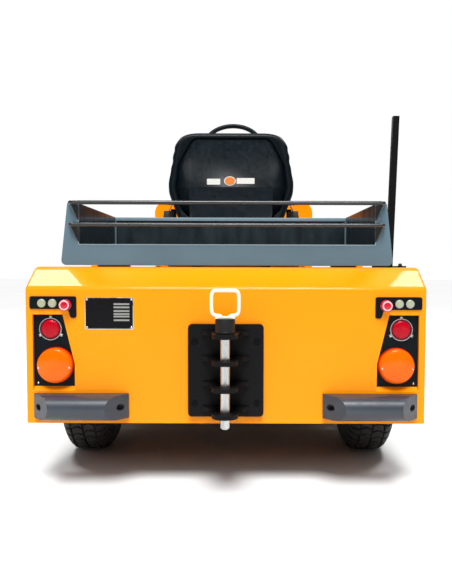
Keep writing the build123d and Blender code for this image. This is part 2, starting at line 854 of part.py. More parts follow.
back_panel_half = (
    (150, 54),
    (208, 120),
    (seat_width / 2 - 28, 205),
    (218, 310),
    (186, back_rise - back_rim_width),
)
back_panel_outline = [(-x, y) for x, y in back_panel_half] + [(x, y) for x, y in reversed(back_panel_half)]
with BuildPart() as seat_back_shell:
    with BuildSketch(back_plane):
        add(back_outline.sketch)
    extrude(amount=back_shell_depth)
    rear_rim = seat_back_shell.faces().filter_by(back_plane).sort_by(Axis.Y)[0]
    fillet(rear_rim.edges(), back_rim_radius)
    # The groove inside the rim, round a raised panel
    with BuildSketch(back_plane.offset(back_shell_depth)) as groove_outline:
        Polygon(*back_panel_outline, align=None)
        fillet(groove_outline.vertices(), back_panel_corner)
    extrude(amount=-back_groove_depth, mode=Mode.SUBTRACT)
    with BuildSketch(back_plane.offset(back_shell_depth - back_groove_depth)) as panel_outline:
        Polygon(*back_panel_outline, align=None)
        fillet(panel_outline.vertices(), back_panel_corner)
        offset(amount=-back_groove_width)
    extrude(amount=back_panel_height)
    # The stiffening plate low on the panel
    with BuildSketch(back_plane.offset(back_shell_depth - back_groove_depth)):
        with Locations((0, back_rim_width + back_groove_width + 30)):
            Rectangle(2 * back_plate_half_width, back_plate_rise - 60, align=(Align.CENTER, Align.MIN))
    extrude(amount=back_panel_height + 3)
seat_back_shell.part.label = "seat_back_shell"
export_step(seat_back_shell.part, "parts/seat_back_shell.step")

with BuildPart() as seat_back_pad:
    with BuildSketch(back_plane):
        add(back_outline.sketch)
        scale(by=(back_pad_width_share, back_pad_height_share, 1))
        Rectangle(seat_width, 2 * (cushion_height + 14), mode=Mode.SUBTRACT)
    extrude(amount=-back_pad_depth)
seat_back_pad.part.label = "seat_back_pad"
export_step(seat_back_pad.part, "parts/seat_back_pad.step")

# Rear axle: one turned form of stub, brake flange, tube and gear housing, with the motor in front
with BuildPart() as rear_axle:
    flange_x = rear_liner_inner_x + liner_sheet + 2
    stub_end = rear_half_track + spindle_reach
    with BuildSketch(Plane(origin=(0, rear_axle_y, rear_tyre_radius), x_dir=(1, 0, 0), z_dir=(0, -1, 0))):
        with BuildLine():
            Polyline(
                (0, 0),
                (stub_end, 0),
                (stub_end, spindle_radius),
                (flange_x + brake_thickness, spindle_radius),
                (flange_x + brake_thickness, brake_radius),
                (flange_x, brake_radius),
                (flange_x, axle_tube_radius),
                (gear_housing_radius + 40, axle_tube_radius),
            )
            Spline(
                (gear_housing_radius + 40, axle_tube_radius),
                (gear_housing_radius * 0.72, gear_housing_radius * 0.75),
                (0, gear_housing_radius),
                tangents=[(-1, 0), (-1, 0)],
            )
            Line((0, gear_housing_radius), (0, 0))
        make_face()
        mirror(about=Plane.YZ)
    revolve(axis=Axis((0, rear_axle_y, rear_tyre_radius), (1, 0, 0)))
    with BuildSketch(Plane.XZ.offset(-rear_axle_y)):
        with Locations((0, rear_tyre_radius + motor_lift)):
            Circle(motor_radius)
    extrude(amount=-motor_length)
rear_axle.part.label = "rear_axle"
export_step(rear_axle.part, "parts/rear_axle.step")

# Front axle: square beam with an upright eye at each end
with BuildPart() as front_axle:
    with BuildSketch(Plane.YZ):
        with Locations((front_axle_y, front_tyre_radius)):
            Rectangle(beam_size, beam_size)
    extrude(amount=kingpin_x, both=True)
    with BuildSketch(Plane.XY.offset(front_tyre_radius - beam_eye_height / 2)):
        with Locations((-kingpin_x, front_axle_y), (kingpin_x, front_axle_y)):
            Circle(beam_size / 2)
    extrude(amount=beam_eye_height)
    with BuildSketch(Plane.XY.offset(front_tyre_radius - beam_eye_height / 2)):
        with Locations((-kingpin_x, front_axle_y), (kingpin_x, front_axle_y)):
            Circle(kingpin_radius + pin_gap)
    extrude(amount=beam_eye_height, mode=Mode.SUBTRACT)
    for side in sides.values():
        with BuildSketch(Plane.XY.offset(front_tyre_radius + beam_size / 2)):
            with Locations((side * front_rail_x, front_axle_y)):
                Rectangle(rail_width, 90)
        extrude(amount=front_rail_bottom - front_tyre_radius - beam_size / 2)
front_axle.part.label = "front_axle"
export_step(front_axle.part, "parts/front_axle.step")

# Leaf springs between the rear axle and the frame
with BuildPart() as leaf_springs:
    spring_bottom = rear_tyre_radius + axle_tube_radius
    leaf = (rear_rail_bottom - spring_bottom) / len(spring_lengths)
    for side in sides.values():
        for count, length in enumerate(spring_lengths):
            with BuildSketch(Plane.XY.offset(spring_bottom + count * leaf)):
                with Locations((side * rear_rail_x, rear_axle_y)):
                    Rectangle(spring_width, length)
            extrude(amount=leaf)
leaf_springs.part.label = "leaf_springs"
export_step(leaf_springs.part, "parts/leaf_springs.step")

# Knuckles: two ears on a kingpin, a web, the wheel's stub and a steering arm with its stud
for name, side in sides.items():
    top_ear = front_tyre_radius + beam_eye_height / 2 + ear_gap
    low_ear = front_tyre_radius - beam_eye_height / 2 - ear_gap - knuckle_ear_thickness
    web_inner = kingpin_x + beam_size / 2 + ear_gap
    arm_x = side * kingpin_x
    with BuildPart() as knuckle:
        for ear_z in (top_ear, low_ear):
            with BuildSketch(Plane.XY.offset(ear_z)):
                with Locations((side * kingpin_x, front_axle_y)):
                    Circle(knuckle_ear_radius)
                with Locations((side * (kingpin_x + web_inner + knuckle_web) / 2, front_axle_y)):
                    Rectangle(web_inner + knuckle_web - kingpin_x, 2 * knuckle_ear_radius)
            extrude(amount=knuckle_ear_thickness)
        with BuildSketch(Plane.XY.offset(low_ear)):
            with Locations((side * (web_inner + knuckle_web / 2), front_axle_y)):
                Rectangle(knuckle_web, 2 * knuckle_ear_radius)
        extrude(amount=top_ear + knuckle_ear_thickness - low_ear)
        with BuildSketch(Plane.XY.offset(low_ear)):
            with Locations((side * kingpin_x, front_axle_y)):
                Circle(kingpin_radius)
        extrude(amount=top_ear - low_ear)
        with BuildSketch(Plane.YZ.offset(side * web_inner)):
            with Locations((front_axle_y, front_tyre_radius)):
                Circle(spindle_radius)
        extrude(amount=side * (front_half_track + spindle_reach - web_inner))
        with BuildSketch(Plane.XY.offset(low_ear)):
            with Locations((arm_x, front_axle_y)):
                Rectangle(steer_arm_width, steer_arm_length, align=(Align.CENTER, Align.MAX))
            with Locations((arm_x, front_axle_y - steer_arm_length)):
                Circle(steer_arm_end_radius)
        extrude(amount=steer_arm_thickness)
        with BuildSketch(Plane.XY.offset(low_ear)):
            with Locations((arm_x, front_axle_y - steer_arm_length)):
                Circle(stud_radius)
        extrude(amount=steer_arm_thickness + tie_eye_height + stud_spare)
    knuckle.part.label = f"knuckle_{name}"
    export_step(knuckle.part, f"parts/knuckle_{name}.step")

# Tie rod: a bar between two eyes over the steering arms' studs
with BuildPart() as tie_rod:
    eye_y = front_axle_y - steer_arm_length
    eye_z = low_ear + steer_arm_thickness + tie_eye_lift
    with BuildSketch(Plane.YZ):
        with Locations((eye_y, eye_z + tie_eye_height / 2)):
            Circle(tie_rod_radius)
    extrude(amount=kingpin_x, both=True)
    with BuildSketch(Plane.XY.offset(eye_z)):
        with Locations((-kingpin_x, eye_y), (kingpin_x, eye_y)):
            Circle(tie_eye_radius)
    extrude(amount=tie_eye_height)
    with BuildSketch(Plane.XY.offset(eye_z)):
        with Locations((-kingpin_x, eye_y), (kingpin_x, eye_y)):
            Circle(stud_radius + pin_gap)
    extrude(amount=tie_eye_height, mode=Mode.SUBTRACT)
tie_rod.part.label = "tie_rod"
export_step(tie_rod.part, "parts/tie_rod.step")

# Wheels: tyre and rim for each corner
for place, axle_y, radius, width, half_track in (
    ("rear", rear_axle_y, rear_tyre_radius, rear_tyre_width, rear_half_track),
    ("front", front_axle_y, front_tyre_radius, front_tyre_width, front_half_track),
):
    for name, side in sides.items():
        half = width / 2
        bead_half = half * tyre_bead_share
        # The tyre's stations across its width, each with the distance from its axis to its flats
        stations = (
            (-bead_half, rim_radius + 2),
            (-half, radius - tyre_side_drop),
            (-half * tyre_shoulder_share, radius - tyre_shoulder_drop),
            (-half * tyre_crown_share, radius),
            (half * tyre_crown_share, radius),
            (half * tyre_shoulder_share, radius - tyre_shoulder_drop),
            (half, radius - tyre_side_drop),
            (bead_half, rim_radius + 2),
        )
        # A section's x runs outwards across the wheel and its y is the radius
        section = Plane(
            origin=(side * half_track, axle_y, radius),
            x_dir=(side, 0, 0),
            z_dir=(0, -side, 0),
        )
        across = Plane(origin=section.origin, x_dir=(0, 1, 0), z_dir=(1, 0, 0))
        wheel_axis = Axis((0, axle_y, radius), (1, 0, 0))
        with BuildPart() as tyre:
            for reach, flat_radius in stations:
                with BuildSketch(across.offset(reach)):
                    RegularPolygon(flat_radius, tyre_facets, major_radius=False, rotation=180 / tyre_facets)
            loft(ruled=True)
            with BuildSketch(across):
                Circle(rim_radius)
            extrude(amount=width, both=True, mode=Mode.SUBTRACT)
        tyre.part.label = f"{place}_tyre_{name}"
        export_step(tyre.part, f"parts/{place}_tyre_{name}.step")
        disc_outer = half * rim_disc_share
        disc_inner = disc_outer - rim_disc_thickness
        with BuildPart() as rim:
            with BuildSketch(section):
                with BuildLine():
                    Polyline(
                        (-bead_half, rim_radius),
                        (bead_half, rim_radius),
                        (bead_half, rim_radius - rim_wall),
                        (disc_outer, rim_radius - rim_wall - rim_disc_thickness),
                        (disc_outer, hub_radius),
                        (hub_outer, hub_radius),
                        (hub_outer, 0),
                        (hub_outer - hub_cap_thickness, 0),
                        (hub_outer - hub_cap_thickness, spindle_radius + hub_gap),
                        (-hub_inner, spindle_radius + hub_gap),
                        (-hub_inner, hub_radius),
                        (disc_inner, hub_radius),
                        (disc_inner, rim_radius - rim_wall - rim_disc_thickness),
                        (disc_inner - 6, rim_radius - rim_wall),
                        (-bead_half, rim_radius - rim_wall),
                        close=True,
                    )
                make_face()
            revolve(axis=wheel_axis)
            # Five round windows in the disc
            with BuildSketch(section.rotated((0, 90, 0))):
                with PolarLocations(rim_window_circle, rim_windows):
                    Circle(rim_window_radius)
            extrude(amount=half, both=True, mode=Mode.SUBTRACT)
        rim.part.label = f"{place}_rim_{name}"
        export_step(rim.part, f"parts/{place}_rim_{name}.step")

# Load tray: folded sheet with a low rear wall and an upright flange round its open rear
tray_half = tray_inner_width / 2 + tray_sheet
with BuildPart() as tray:
    with BuildSketch(Plane.XZ.offset(-tray_rear_y)) as tray_front_view:
        with Locations((0, tray_bottom)):
            Rectangle(2 * tray_half, tray_top - tray_bottom, align=(Align.CENTER, Align.MIN))
        fillet(tray_front_view.vertices().group_by(Axis.Y)[0], tray_bend_radius)
    extrude(amount=-(tray_inner_length + 2 * tray_sheet))
    offset(amount=-tray_sheet, openings=tray.faces().sort_by(Axis.Z)[-1])
    with BuildSketch(Plane.XZ.offset(-tray_rear_y + 1)):
        with Locations((0, tray_lip_height)):
            Rectangle(tray_inner_width, tray_top, align=(Align.CENTER, Align.MIN))
    extrude(amount=-(tray_sheet + 2), mode=Mode.SUBTRACT)
    with BuildSketch(Plane.XZ.offset(-tray_rear_y)) as flange_shape:
        with BuildLine():
            Polyline(
                (-flange_half_top, tray_top),
                (flange_half_top, tray_top),
                (flange_half_bottom, tray_bottom),
                (-flange_half_bottom, tray_bottom),
                close=True,
            )
        make_face()
        fillet(flange_shape.vertices().group_by(Axis.Y)[0], flange_corner)
        with Locations((0, tray_lip_height)):
            Rectangle(tray_inner_width, tray_top, align=(Align.CENTER, Align.MIN), mode=Mode.SUBTRACT)
    extrude(amount=tray_sheet)
tray.part.label = "tray"
export_step(tray.part, "parts/tray.step")

# Rails over the tray's open rear, and the runners that stand the tray off the deck
with BuildPart() as tray_rails:
    flange_y = tray_rear_y - tray_sheet
    for level in tray_rail_heights:
        with BuildLine():
            FilletPolyline(
                (-tray_rail_half_span, flange_y, level - tray_rail_radius),
                (-tray_rail_half_span, flange_y - tray_rail_stand_off, level - tray_rail_radius),
                (tray_rail_half_span, flange_y - tray_rail_stand_off, level - tray_rail_radius),
                (tray_rail_half_span, flange_y, level - tray_rail_radius),
                radius=2 * tray_rail_radius,
            )
        with BuildSketch(Plane(origin=(-tray_rail_half_span, flange_y, level - tray_rail_radius), z_dir=(0, -1, 0))):
            Circle(tray_rail_radius)
        sweep()
        # A gusset from each end of the rail to the flange's inner edge
        for side in sides.values():
            gusset_run = tray_rail_half_span - tray_inner_width / 2
            gusset_plane = Plane(
                origin=(side * tray_inner_width / 2, flange_y, level),
                x_dir=(side * gusset_run, -tray_rail_stand_off, 0),
                z_dir=(-tray_rail_stand_off, -side * gusset_run, 0),
            )
            with BuildSketch(gusset_plane):
                with BuildLine():
                    Polyline(
                        (0, -2 * tray_rail_radius),
                        (hypot(gusset_run, tray_rail_stand_off), -tray_rail_radius),
                        (0, -gusset_depth),
                        close=True,
                    )
                make_face()
            extrude(amount=gusset_thickness / 2, both=True)
    add(tray.part, mode=Mode.SUBTRACT)
tray_rails.part.label = "tray_rails"
export_step(tray_rails.part, "parts/tray_rails.step")

with BuildPart() as tray_runners:
    for side in sides.values():
        with BuildSketch(Plane.XY.offset(deck_height)):
            with Locations((side * runner_x, tray_rear_y - runner_reach)):
                Rectangle(
                    runner_width,
                    runner_reach + tray_inner_length + 2 * tray_sheet,
                    align=(Align.CENTER, Align.MIN),
                )
        extrude(amount=tray_bottom - deck_height)
tray_runners.part.label = "tray_runners"
export_step(tray_runners.part, "parts/tray_runners.step")

# Mast: a square tube on a foot plate, leaning outwards a little
mast_rise = mast_height - mast_foot[2]
mast_dir = (mast_lean, 0, mast_rise)
with BuildPart() as mast:
    with BuildSketch(Plane.XY.offset(deck_height)):
        with Locations((mast_x, mast_y)):
            Rectangle(mast_foot[0], mast_foot[1])
    extrude(amount=mast_foot[2])
    with BuildSketch(Plane.XY.offset(deck_height + mast_foot[2])):
        with Locations((mast_x, mast_y)):
            Rectangle(mast_size, mast_size)
    extrude(amount=hypot(mast_lean, mast_rise), dir=mast_dir)
    with BuildSketch(Plane.XY.offset(deck_height + mast_foot[2])):
        with Locations((mast_x, mast_y)):
            Rectangle(mast_size - 2 * mast_wall, mast_size - 2 * mast_wall)
    extrude(amount=hypot(mast_lean, mast_rise) - mast_wall, dir=mast_dir, mode=Mode.SUBTRACT)
mast.part.label = "mast"
export_step(mast.part, "parts/mast.step")

# Lamp plates in the recesses
plate_face = rear_face.offset(-recess_depth)
with BuildPart() as lamp_plates:
    for side in sides.values():
        with BuildSketch(plate_face):
            Polygon(*lamp_outline(side, lamp_bottom), align=None)
        extrude(amount=-lamp_plate_thickness)
lamp_plates.part.label = "lamp_plates"
export_step(lamp_plates.part, "parts/lamp_plates.step")

# Amber signal lamps: a base ring and a shallow lens
with BuildPart() as amber_lamps:
    for side in sides.values():
        with BuildSketch(plate_face):
            with Locations((side * amber_x, amber_z)):
                Circle(amber_radius)
        extrude(amount=amber_depth)
    lens_faces = amber_lamps.faces().filter_by(Axis.Y).group_by(Axis.Y)[0]
    fillet(lens_faces.edges(), amber_edge_radius)
amber_lamps.part.label = "amber_lamps"
export_step(amber_lamps.part, "parts/amber_lamps.step")

# Red reflectors with their eared rings
with BuildPart() as red_reflectors:
    for side in sides.values():
        with BuildSketch(plate_face):
            with Locations((side * reflector_x, reflector_z)):
                Circle(reflector_radius)
                with PolarLocations(reflector_radius - 2, 3, start_angle=90):
                    Circle(reflector_ear_radius)
        extrude(amount=reflector_base)
        with BuildSketch(plate_face.offset(reflector_base)):
            with Locations((side * reflector_x, reflector_z)):
                Circle(reflector_radius - reflector_ring)
        extrude(amount=reflector_dome)
red_reflectors.part.label = "red_reflectors"
export_step(red_reflectors.part, "parts/red_reflectors.step")

# Control panels with a tail at the inner end
with BuildPart() as button_panels:
    for side in sides.values():
        with BuildSketch(rear_face) as panel_shape:
            with BuildLine():
                Polyline(
                    (side * panel_outer_x, panel_top),
                    (side * panel_inner_x, panel_top),
                    (side * panel_inner_x, panel_tail_bottom),
                    (side * panel_tail_x, panel_tail_bottom),
                    (side * (panel_tail_x + panel_tail_slope), panel_bottom),
                    (side * panel_outer_x, panel_bottom),
                    close=True,
                )
            make_face()
            fillet(panel_shape.vertices(), panel_corner)
        extrude(amount=panel_thickness)
button_panels.part.label = "button_panels"
export_step(button_panels.part, "parts/button_panels.step")

# Push buttons and stop buttons on the panels
with BuildPart() as push_buttons:
    for side in sides.values():
        for x in button_x:
            with BuildSketch(rear_face.offset(panel_thickness)):
                with Locations((side * x, button_z)):
                    Circle(button_radius)
            extrude(amount=button_height)
        with BuildSketch(rear_face.offset(panel_thickness)):
            with Locations((side * stop_x, stop_z)):
                Circle(stop_radius - stop_stem_inset)
        extrude(amount=stop_stem_height)
        with BuildSketch(rear_face.offset(panel_thickness + stop_stem_height)):
            with Locations((side * stop_x, stop_z)):
                Circle(stop_radius)
        extrude(amount=stop_height, taper=12)
push_buttons.part.label = "push_buttons"
export_step(push_buttons.part, "parts/push_buttons.step")

# Bumper pads: D-section rubber bars, cut on a slant at the ends for their bolts
with BuildPart() as bumper_pads:
    pad_height = pad_top - pad_bottom
    pad_middle = (pad_bottom + pad_top) / 2
    for side in sides.values():
        with BuildSketch(Plane.YZ.offset(side * pad_inner_x)) as pad_section:
            with BuildLine():
                Polyline(
                    (rear_y, pad_bottom),
                    (rear_y, pad_top),
                    (rear_y - pad_depth, pad_top),
                    (rear_y - pad_depth, pad_bottom),
                    close=True,
                )
            make_face()
            fillet(pad_section.vertices().group_by(Axis.X)[0], 0.48 * pad_height)
        extrude(amount=side * pad_length)
        for end_x, inwards in ((pad_inner_x, 1), (pad_outer_x, -1)):
            with BuildSketch(Plane.XY.offset(pad_bottom - 1)):
                with BuildLine():
                    Polyline(
                        (side * end_x, rear_y - pad_end_depth),
                        (side * (end_x + inwards * pad_slant), rear_y - pad_depth),
                        (side * (end_x + inwards * pad_slant), rear_y - pad_depth - 1),
                        (side * (end_x - inwards), rear_y - pad_depth - 1),
                        (side * (end_x - inwards), rear_y - pad_end_depth),
                        close=True,
                    )
                make_face()
            extrude(amount=pad_height + 2, mode=Mode.SUBTRACT)
            with BuildSketch(rear_face):
                with Locations((side * (end_x + inwards * pad_bolt_inset), pad_middle)):
                    Circle(pad_bolt_radius)
            extrude(amount=pad_depth, mode=Mode.SUBTRACT)
            with BuildSketch(rear_face.offset(pad_head_seat)):
                with Locations((side * (end_x + inwards * pad_bolt_inset), pad_middle)):
                    Circle(pad_head_radius)
            extrude(amount=pad_depth, mode=Mode.SUBTRACT)
bumper_pads.part.label = "bumper_pads"
export_step(bumper_pads.part, "parts/bumper_pads.step")

# Ladder hitch: a bolted plate with four winged steps bored for the pin
with BuildPart() as hitch_ladder:
    with BuildSketch(rear_face):
        with Locations((0, hitch_plate_bottom + hitch_plate[2] / 2)):
            RectangleRounded(hitch_plate[0], hitch_plate[2], hitch_plate_corner)
    extrude(amount=hitch_plate[1])
    step_back_y = rear_y - hitch_plate[1]
    step_front_y = rear_y - hitch_reach
    wing_y = step_back_y - step_wing
    nose_y = step_front_y + step_nose_radius
    for step_top in step_tops:
        with BuildSketch(Plane.XY.offset(step_top - step_thickness)):
            with BuildLine():
                Line((0, step_back_y + 2), (-step_tip, step_back_y + 2))
                Line((-step_tip, step_back_y + 2), (-step_tip, wing_y))
                Spline((-step_tip, wing_y), (-step_nose_radius, nose_y), tangents=[(1, -0.5), (0, -1)])
                RadiusArc((-step_nose_radius, nose_y), (0, step_front_y), -step_nose_radius)
                mirror(about=Plane.YZ)
            make_face()
            with Locations((0, tow_pin_y)):
                Circle(tow_pin_radius + tow_pin_gap, mode=Mode.SUBTRACT)
        extrude(amount=step_thickness)
    # Round seats for the plate's bolt heads
    with BuildSketch(rear_face.offset(hitch_plate[1])):
        for bolt_z in hitch_bolt_zs:
            with Locations((-hitch_bolt_x, bolt_z), (hitch_bolt_x, bolt_z)):
                Circle(hitch_bolt_radius)
    extrude(amount=-hitch_bolt_seat, mode=Mode.SUBTRACT)
hitch_ladder.part.label = "hitch_ladder"
export_step(hitch_ladder.part, "parts/hitch_ladder.step")

# Tow pin with its collar and loop handle
with BuildPart() as tow_pin:
    collar_bottom = step_tops[-1]
    handle_bottom = collar_bottom + collar_height - handle_seat
    with BuildSketch(Plane.XY.offset(tow_pin_bottom)):
        with Locations((0, tow_pin_y)):
            Circle(tow_pin_radius)
    extrude(amount=collar_bottom - tow_pin_bottom)
    chamfer(tow_pin.edges().sort_by(Axis.Z)[0], tow_pin_chamfer)
    with BuildSketch(Plane.XY.offset(collar_bottom)):
        with Locations((0, tow_pin_y)):
            Circle(collar_radius)
    extrude(amount=collar_height)
    handle_half = handle_width / 2 - handle_radius
    with BuildLine(Plane.XZ.offset(-tow_pin_y)) as handle_path:
        loop = FilletPolyline(
            (-handle_half, handle_bottom + handle_radius),
            (handle_half, handle_bottom + handle_radius),
            (handle_half, handle_bottom + handle_height),
            (-handle_half, handle_bottom + handle_height),
            radius=handle_corner,
            close=True,
        )
    with BuildSketch(Plane(origin=handle_path.line @ 0, z_dir=handle_path.line % 0)):
        Circle(handle_radius)
    sweep(path=handle_path.line)
tow_pin.part.label = "tow_pin"
export_step(tow_pin.part, "parts/tow_pin.step")

# Headlamps in the nose
with BuildPart() as headlamps:
    with BuildSketch(front_face):
        with Locations((-headlamp_x, headlamp_z), (headlamp_x, headlamp_z)):
            Circle(headlamp_radius)
    extrude(amount=headlamp_depth)
    fillet(headlamps.faces().filter_by(Axis.Y).group_by(Axis.Y)[-1].edges(), 6)
headlamps.part.label = "headlamps"
export_step(headlamps.part, "parts/headlamps.step")

# Front bumper with its towing fork
with BuildPart() as front_bumper:
    with BuildSketch(Plane.XY.offset(bumper_bottom)) as bumper_plan:
        with Locations((0, nose_front_y)):
            Rectangle(2 * bumper_half_width, bumper_depth, align=(Align.CENTER, Align.MIN))
        fillet(bumper_plan.vertices().group_by(Axis.Y)[-1], bumper_corner)
        with Locations((0, front_y)):
            Rectangle(2 * fork_half_width + 60, bumper_depth - 10, align=(Align.CENTER, Align.MAX), mode=Mode.SUBTRACT)
    extrude(amount=bumper_top - bumper_bottom)
    fork_middle = (bumper_bottom + bumper_top) / 2
    for ear_z in (fork_middle - fork_gap / 2 - fork_ear, fork_middle + fork_gap / 2):
        with BuildSketch(Plane.XY.offset(ear_z)) as ear:
            with Locations((0, nose_front_y + 8)):
                Rectangle(2 * fork_half_width, bumper_depth - 8, align=(Align.CENTER, Align.MIN))
            fillet(ear.vertices().group_by(Axis.Y)[-1], fork_corner)
            with Locations((0, fork_bore_y)):
                Circle(fork_bore_radius, mode=Mode.SUBTRACT)
        extrude(amount=fork_ear)
front_bumper.part.label = "front_bumper"
export_step(front_bumper.part, "parts/front_bumper.step")
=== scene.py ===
"""Airport baggage tug: finishes, treaded tyres, padded seat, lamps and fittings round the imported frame."""

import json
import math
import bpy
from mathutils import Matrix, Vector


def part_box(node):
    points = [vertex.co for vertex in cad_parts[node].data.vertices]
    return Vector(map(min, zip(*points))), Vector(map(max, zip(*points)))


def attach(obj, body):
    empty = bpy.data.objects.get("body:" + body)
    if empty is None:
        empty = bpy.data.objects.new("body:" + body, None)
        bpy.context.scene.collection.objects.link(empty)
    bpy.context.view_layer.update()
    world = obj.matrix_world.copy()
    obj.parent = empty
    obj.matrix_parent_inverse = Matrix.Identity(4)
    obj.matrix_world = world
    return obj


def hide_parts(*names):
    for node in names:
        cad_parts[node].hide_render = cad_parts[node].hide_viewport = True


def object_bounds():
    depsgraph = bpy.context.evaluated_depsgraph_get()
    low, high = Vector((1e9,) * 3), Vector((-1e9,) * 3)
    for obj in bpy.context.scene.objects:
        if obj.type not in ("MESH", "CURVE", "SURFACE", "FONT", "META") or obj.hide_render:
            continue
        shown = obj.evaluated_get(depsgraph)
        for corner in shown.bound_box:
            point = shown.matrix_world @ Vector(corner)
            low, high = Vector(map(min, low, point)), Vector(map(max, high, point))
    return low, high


bl_info = {
    "name": "Airport Baggage Tug",
    "version": (1, 0, 0),
    "blender": (4, 5, 0),
    "location": "3D View > Sidebar > Tug",
    "description": "Dresses an electric tow tractor with its paint, tyres, seat, lamps and fittings",
    "category": "Object",
}

import bmesh
import bpy
from mathutils import Matrix, Vector

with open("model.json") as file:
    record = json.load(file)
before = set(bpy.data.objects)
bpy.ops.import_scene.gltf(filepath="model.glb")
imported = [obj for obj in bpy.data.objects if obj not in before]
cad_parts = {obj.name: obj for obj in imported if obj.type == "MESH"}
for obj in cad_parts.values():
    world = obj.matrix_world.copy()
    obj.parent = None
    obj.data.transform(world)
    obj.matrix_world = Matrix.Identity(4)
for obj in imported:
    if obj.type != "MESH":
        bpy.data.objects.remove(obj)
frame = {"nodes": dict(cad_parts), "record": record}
cad_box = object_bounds()

X, Y, Z = Vector((1, 0, 0)), Vector((0, 1, 0)), Vector((0, 0, 1))
FINISHES = {}


# Node helpers


class Tree:
    """A material's nodes, with short names for the few kinds that the finishes use."""

    def __init__(self, name):
        self.name = name
        self.material = bpy.data.materials.new(name)
        self.material.use_nodes = True
        self.nodes = self.material.node_tree.nodes
        self.links = self.material.node_tree.links
        self.shader = self.nodes["Principled BSDF"]
        self.place = self.nodes.new("ShaderNodeTexCoord").outputs["Object"]

    def link(self, output, socket):
        self.links.new(output, socket)

    def node(self, kind, **settings):
        made = self.nodes.new(kind)
        for key, value in settings.items():
            setattr(made, key, value)
        return made

    def noise(self, scale, detail=3.0, stretch=None):
        made = self.node("ShaderNodeTexNoise")
        made.inputs["Scale"].default_value = scale
        made.inputs["Detail"].default_value = detail
        self.link(self.turned(stretch) if stretch else self.place, made.inputs["Vector"])
        return made.outputs["Fac"]

    def turned(self, stretch):
        made = self.node("ShaderNodeMapping")
        made.inputs["Scale"].default_value = stretch
        self.link(self.place, made.inputs["Vector"])
        return made.outputs["Vector"]

    def cells(self, scale, feature="F1", stretch=None):
        made = self.node("ShaderNodeTexVoronoi", feature=feature)
        made.inputs["Scale"].default_value = scale
        self.link(self.turned(stretch) if stretch else self.place, made.inputs["Vector"])
        return made.outputs["Distance"]

    def spread(self, value, low, high, start=0.3, end=0.7):
        """Maps a 0 to 1 value onto low to high."""
        made = self.node("ShaderNodeMapRange")
        for key, number in (("From Min", start), ("From Max", end), ("To Min", low), ("To Max", high)):
            made.inputs[key].default_value = number
        self.link(value, made.inputs["Value"])
        return made.outputs["Result"]

    def sums(self, operation, first, second):
        made = self.node("ShaderNodeMath", operation=operation)
        for socket, value in zip(made.inputs, (first, second)):
            if isinstance(value, (int, float)):
                socket.default_value = value
            else:
                self.link(value, socket)
        return made.outputs[0]

    def blend(self, factor, first, second):
        """Mixes two colours, each a value or a socket."""
        made = self.node("ShaderNodeMix", data_type="RGBA")
        self.link(factor, made.inputs["Factor"])
        for socket, value in ((made.inputs["A"], first), (made.inputs["B"], second)):
            if isinstance(value, bpy.types.NodeSocket):
                self.link(value, socket)
            else:
                socket.default_value = (*value[:3], 1)
        return made.outputs["Result"]

    def axis(self, name):
        made = self.node("ShaderNodeSeparateXYZ")
        self.link(self.place, made.inputs[0])
        return made.outputs[name]

    def bump(self, height, strength, distance, under=None):
        made = self.node("ShaderNodeBump")
        made.inputs["Strength"].default_value = strength
        made.inputs["Distance"].default_value = distance
        self.link(height, made.inputs["Height"])
        if under:
            self.link(under, made.inputs["Normal"])
        return made.outputs["Normal"]

    def done(self, **values):
        """Sets the shader's sockets, by values or other nodes' outputs, and lists the finish."""
        for key, value in values.items():
            socket = self.shader.inputs[key.replace("_", " ")]
            if isinstance(value, bpy.types.NodeSocket):
                self.link(value, socket)
            elif isinstance(value, (tuple, list)) or hasattr(value, "foreach_get"):
                socket.default_value = (*value[:3], 1)
            else:
                socket.default_value = value
        FINISHES[self.name] = self.material
        return self.material


def darker(colour, share):
    return tuple(channel * share for channel in colour[:3])


# Finishes


def painted(name, colour, rough=0.3, mottle=0.05, coat=1.0, peel=0.05, gloss=0.4):
    """Sprayed paint: a little uneven in colour, with orange peel under a clear coat."""
    tree = Tree(name)
    cloud = tree.spread(tree.noise(2.5, 4), 0, 1)
    grain = tree.spread(tree.noise(35, 2), rough - 0.05, rough + 0.05)
    skin = tree.bump(tree.noise(420, 1), peel, 0.0004)
    return tree.done(
        Base_Color=tree.blend(cloud, darker(colour, 1 - mottle), colour),
        Roughness=grain,
        Coat_Weight=coat,
        Coat_Roughness=0.04,
        Specular_IOR_Level=gloss,
        Normal=skin,
    )


def tray_paint(name, colour, rim):
    """The tray's blue-grey paint, with painted shade: its interior, forward of the rear rim, is a much darker copy
    of the paint.
    """
    tree = Tree(name)
    cloud = tree.spread(tree.noise(6, 4), 0, 1)
    outside = tree.blend(cloud, darker(colour, 0.88), colour)
    streak_noise = tree.spread(tree.noise(30, 5, (1, 1, 0.3)), 0, 1)
    # Painted shade: the interior's colour, 6 to 16 per cent of the paint's
    shaded_inside = tree.blend(streak_noise, darker(colour, 0.06), darker(colour, 0.16))
    # Mask of the interior, where the shade is painted
    depth = tree.sums("GREATER_THAN", tree.axis("Y"), rim)
    return tree.done(
        Base_Color=tree.blend(depth, outside, shaded_inside),
        Roughness=tree.spread(streak_noise, 0.3, 0.42),
        Coat_Weight=0.3,
        Coat_Roughness=0.1,
        Specular_IOR_Level=0.3,
        Normal=tree.bump(tree.noise(420, 1), 0.05, 0.0004),
    )


def moulded(name, colour, rough=0.45, grain=1400, depth=0.00015, coat=0.0, gloss=0.3):
    """Moulded plastic or rubber with a fine cell grain."""
    tree = Tree(name)
    cloud = tree.spread(tree.noise(9, 4), 0, 1)
    return tree.done(
        Base_Color=tree.blend(cloud, darker(colour, 0.8), colour),
        Roughness=tree.spread(tree.noise(60, 3), rough - 0.06, rough + 0.06),
        Coat_Weight=coat,
        Coat_Roughness=0.15,
        Specular_IOR_Level=gloss,
        Normal=tree.bump(tree.cells(grain), 0.35, depth),
    )


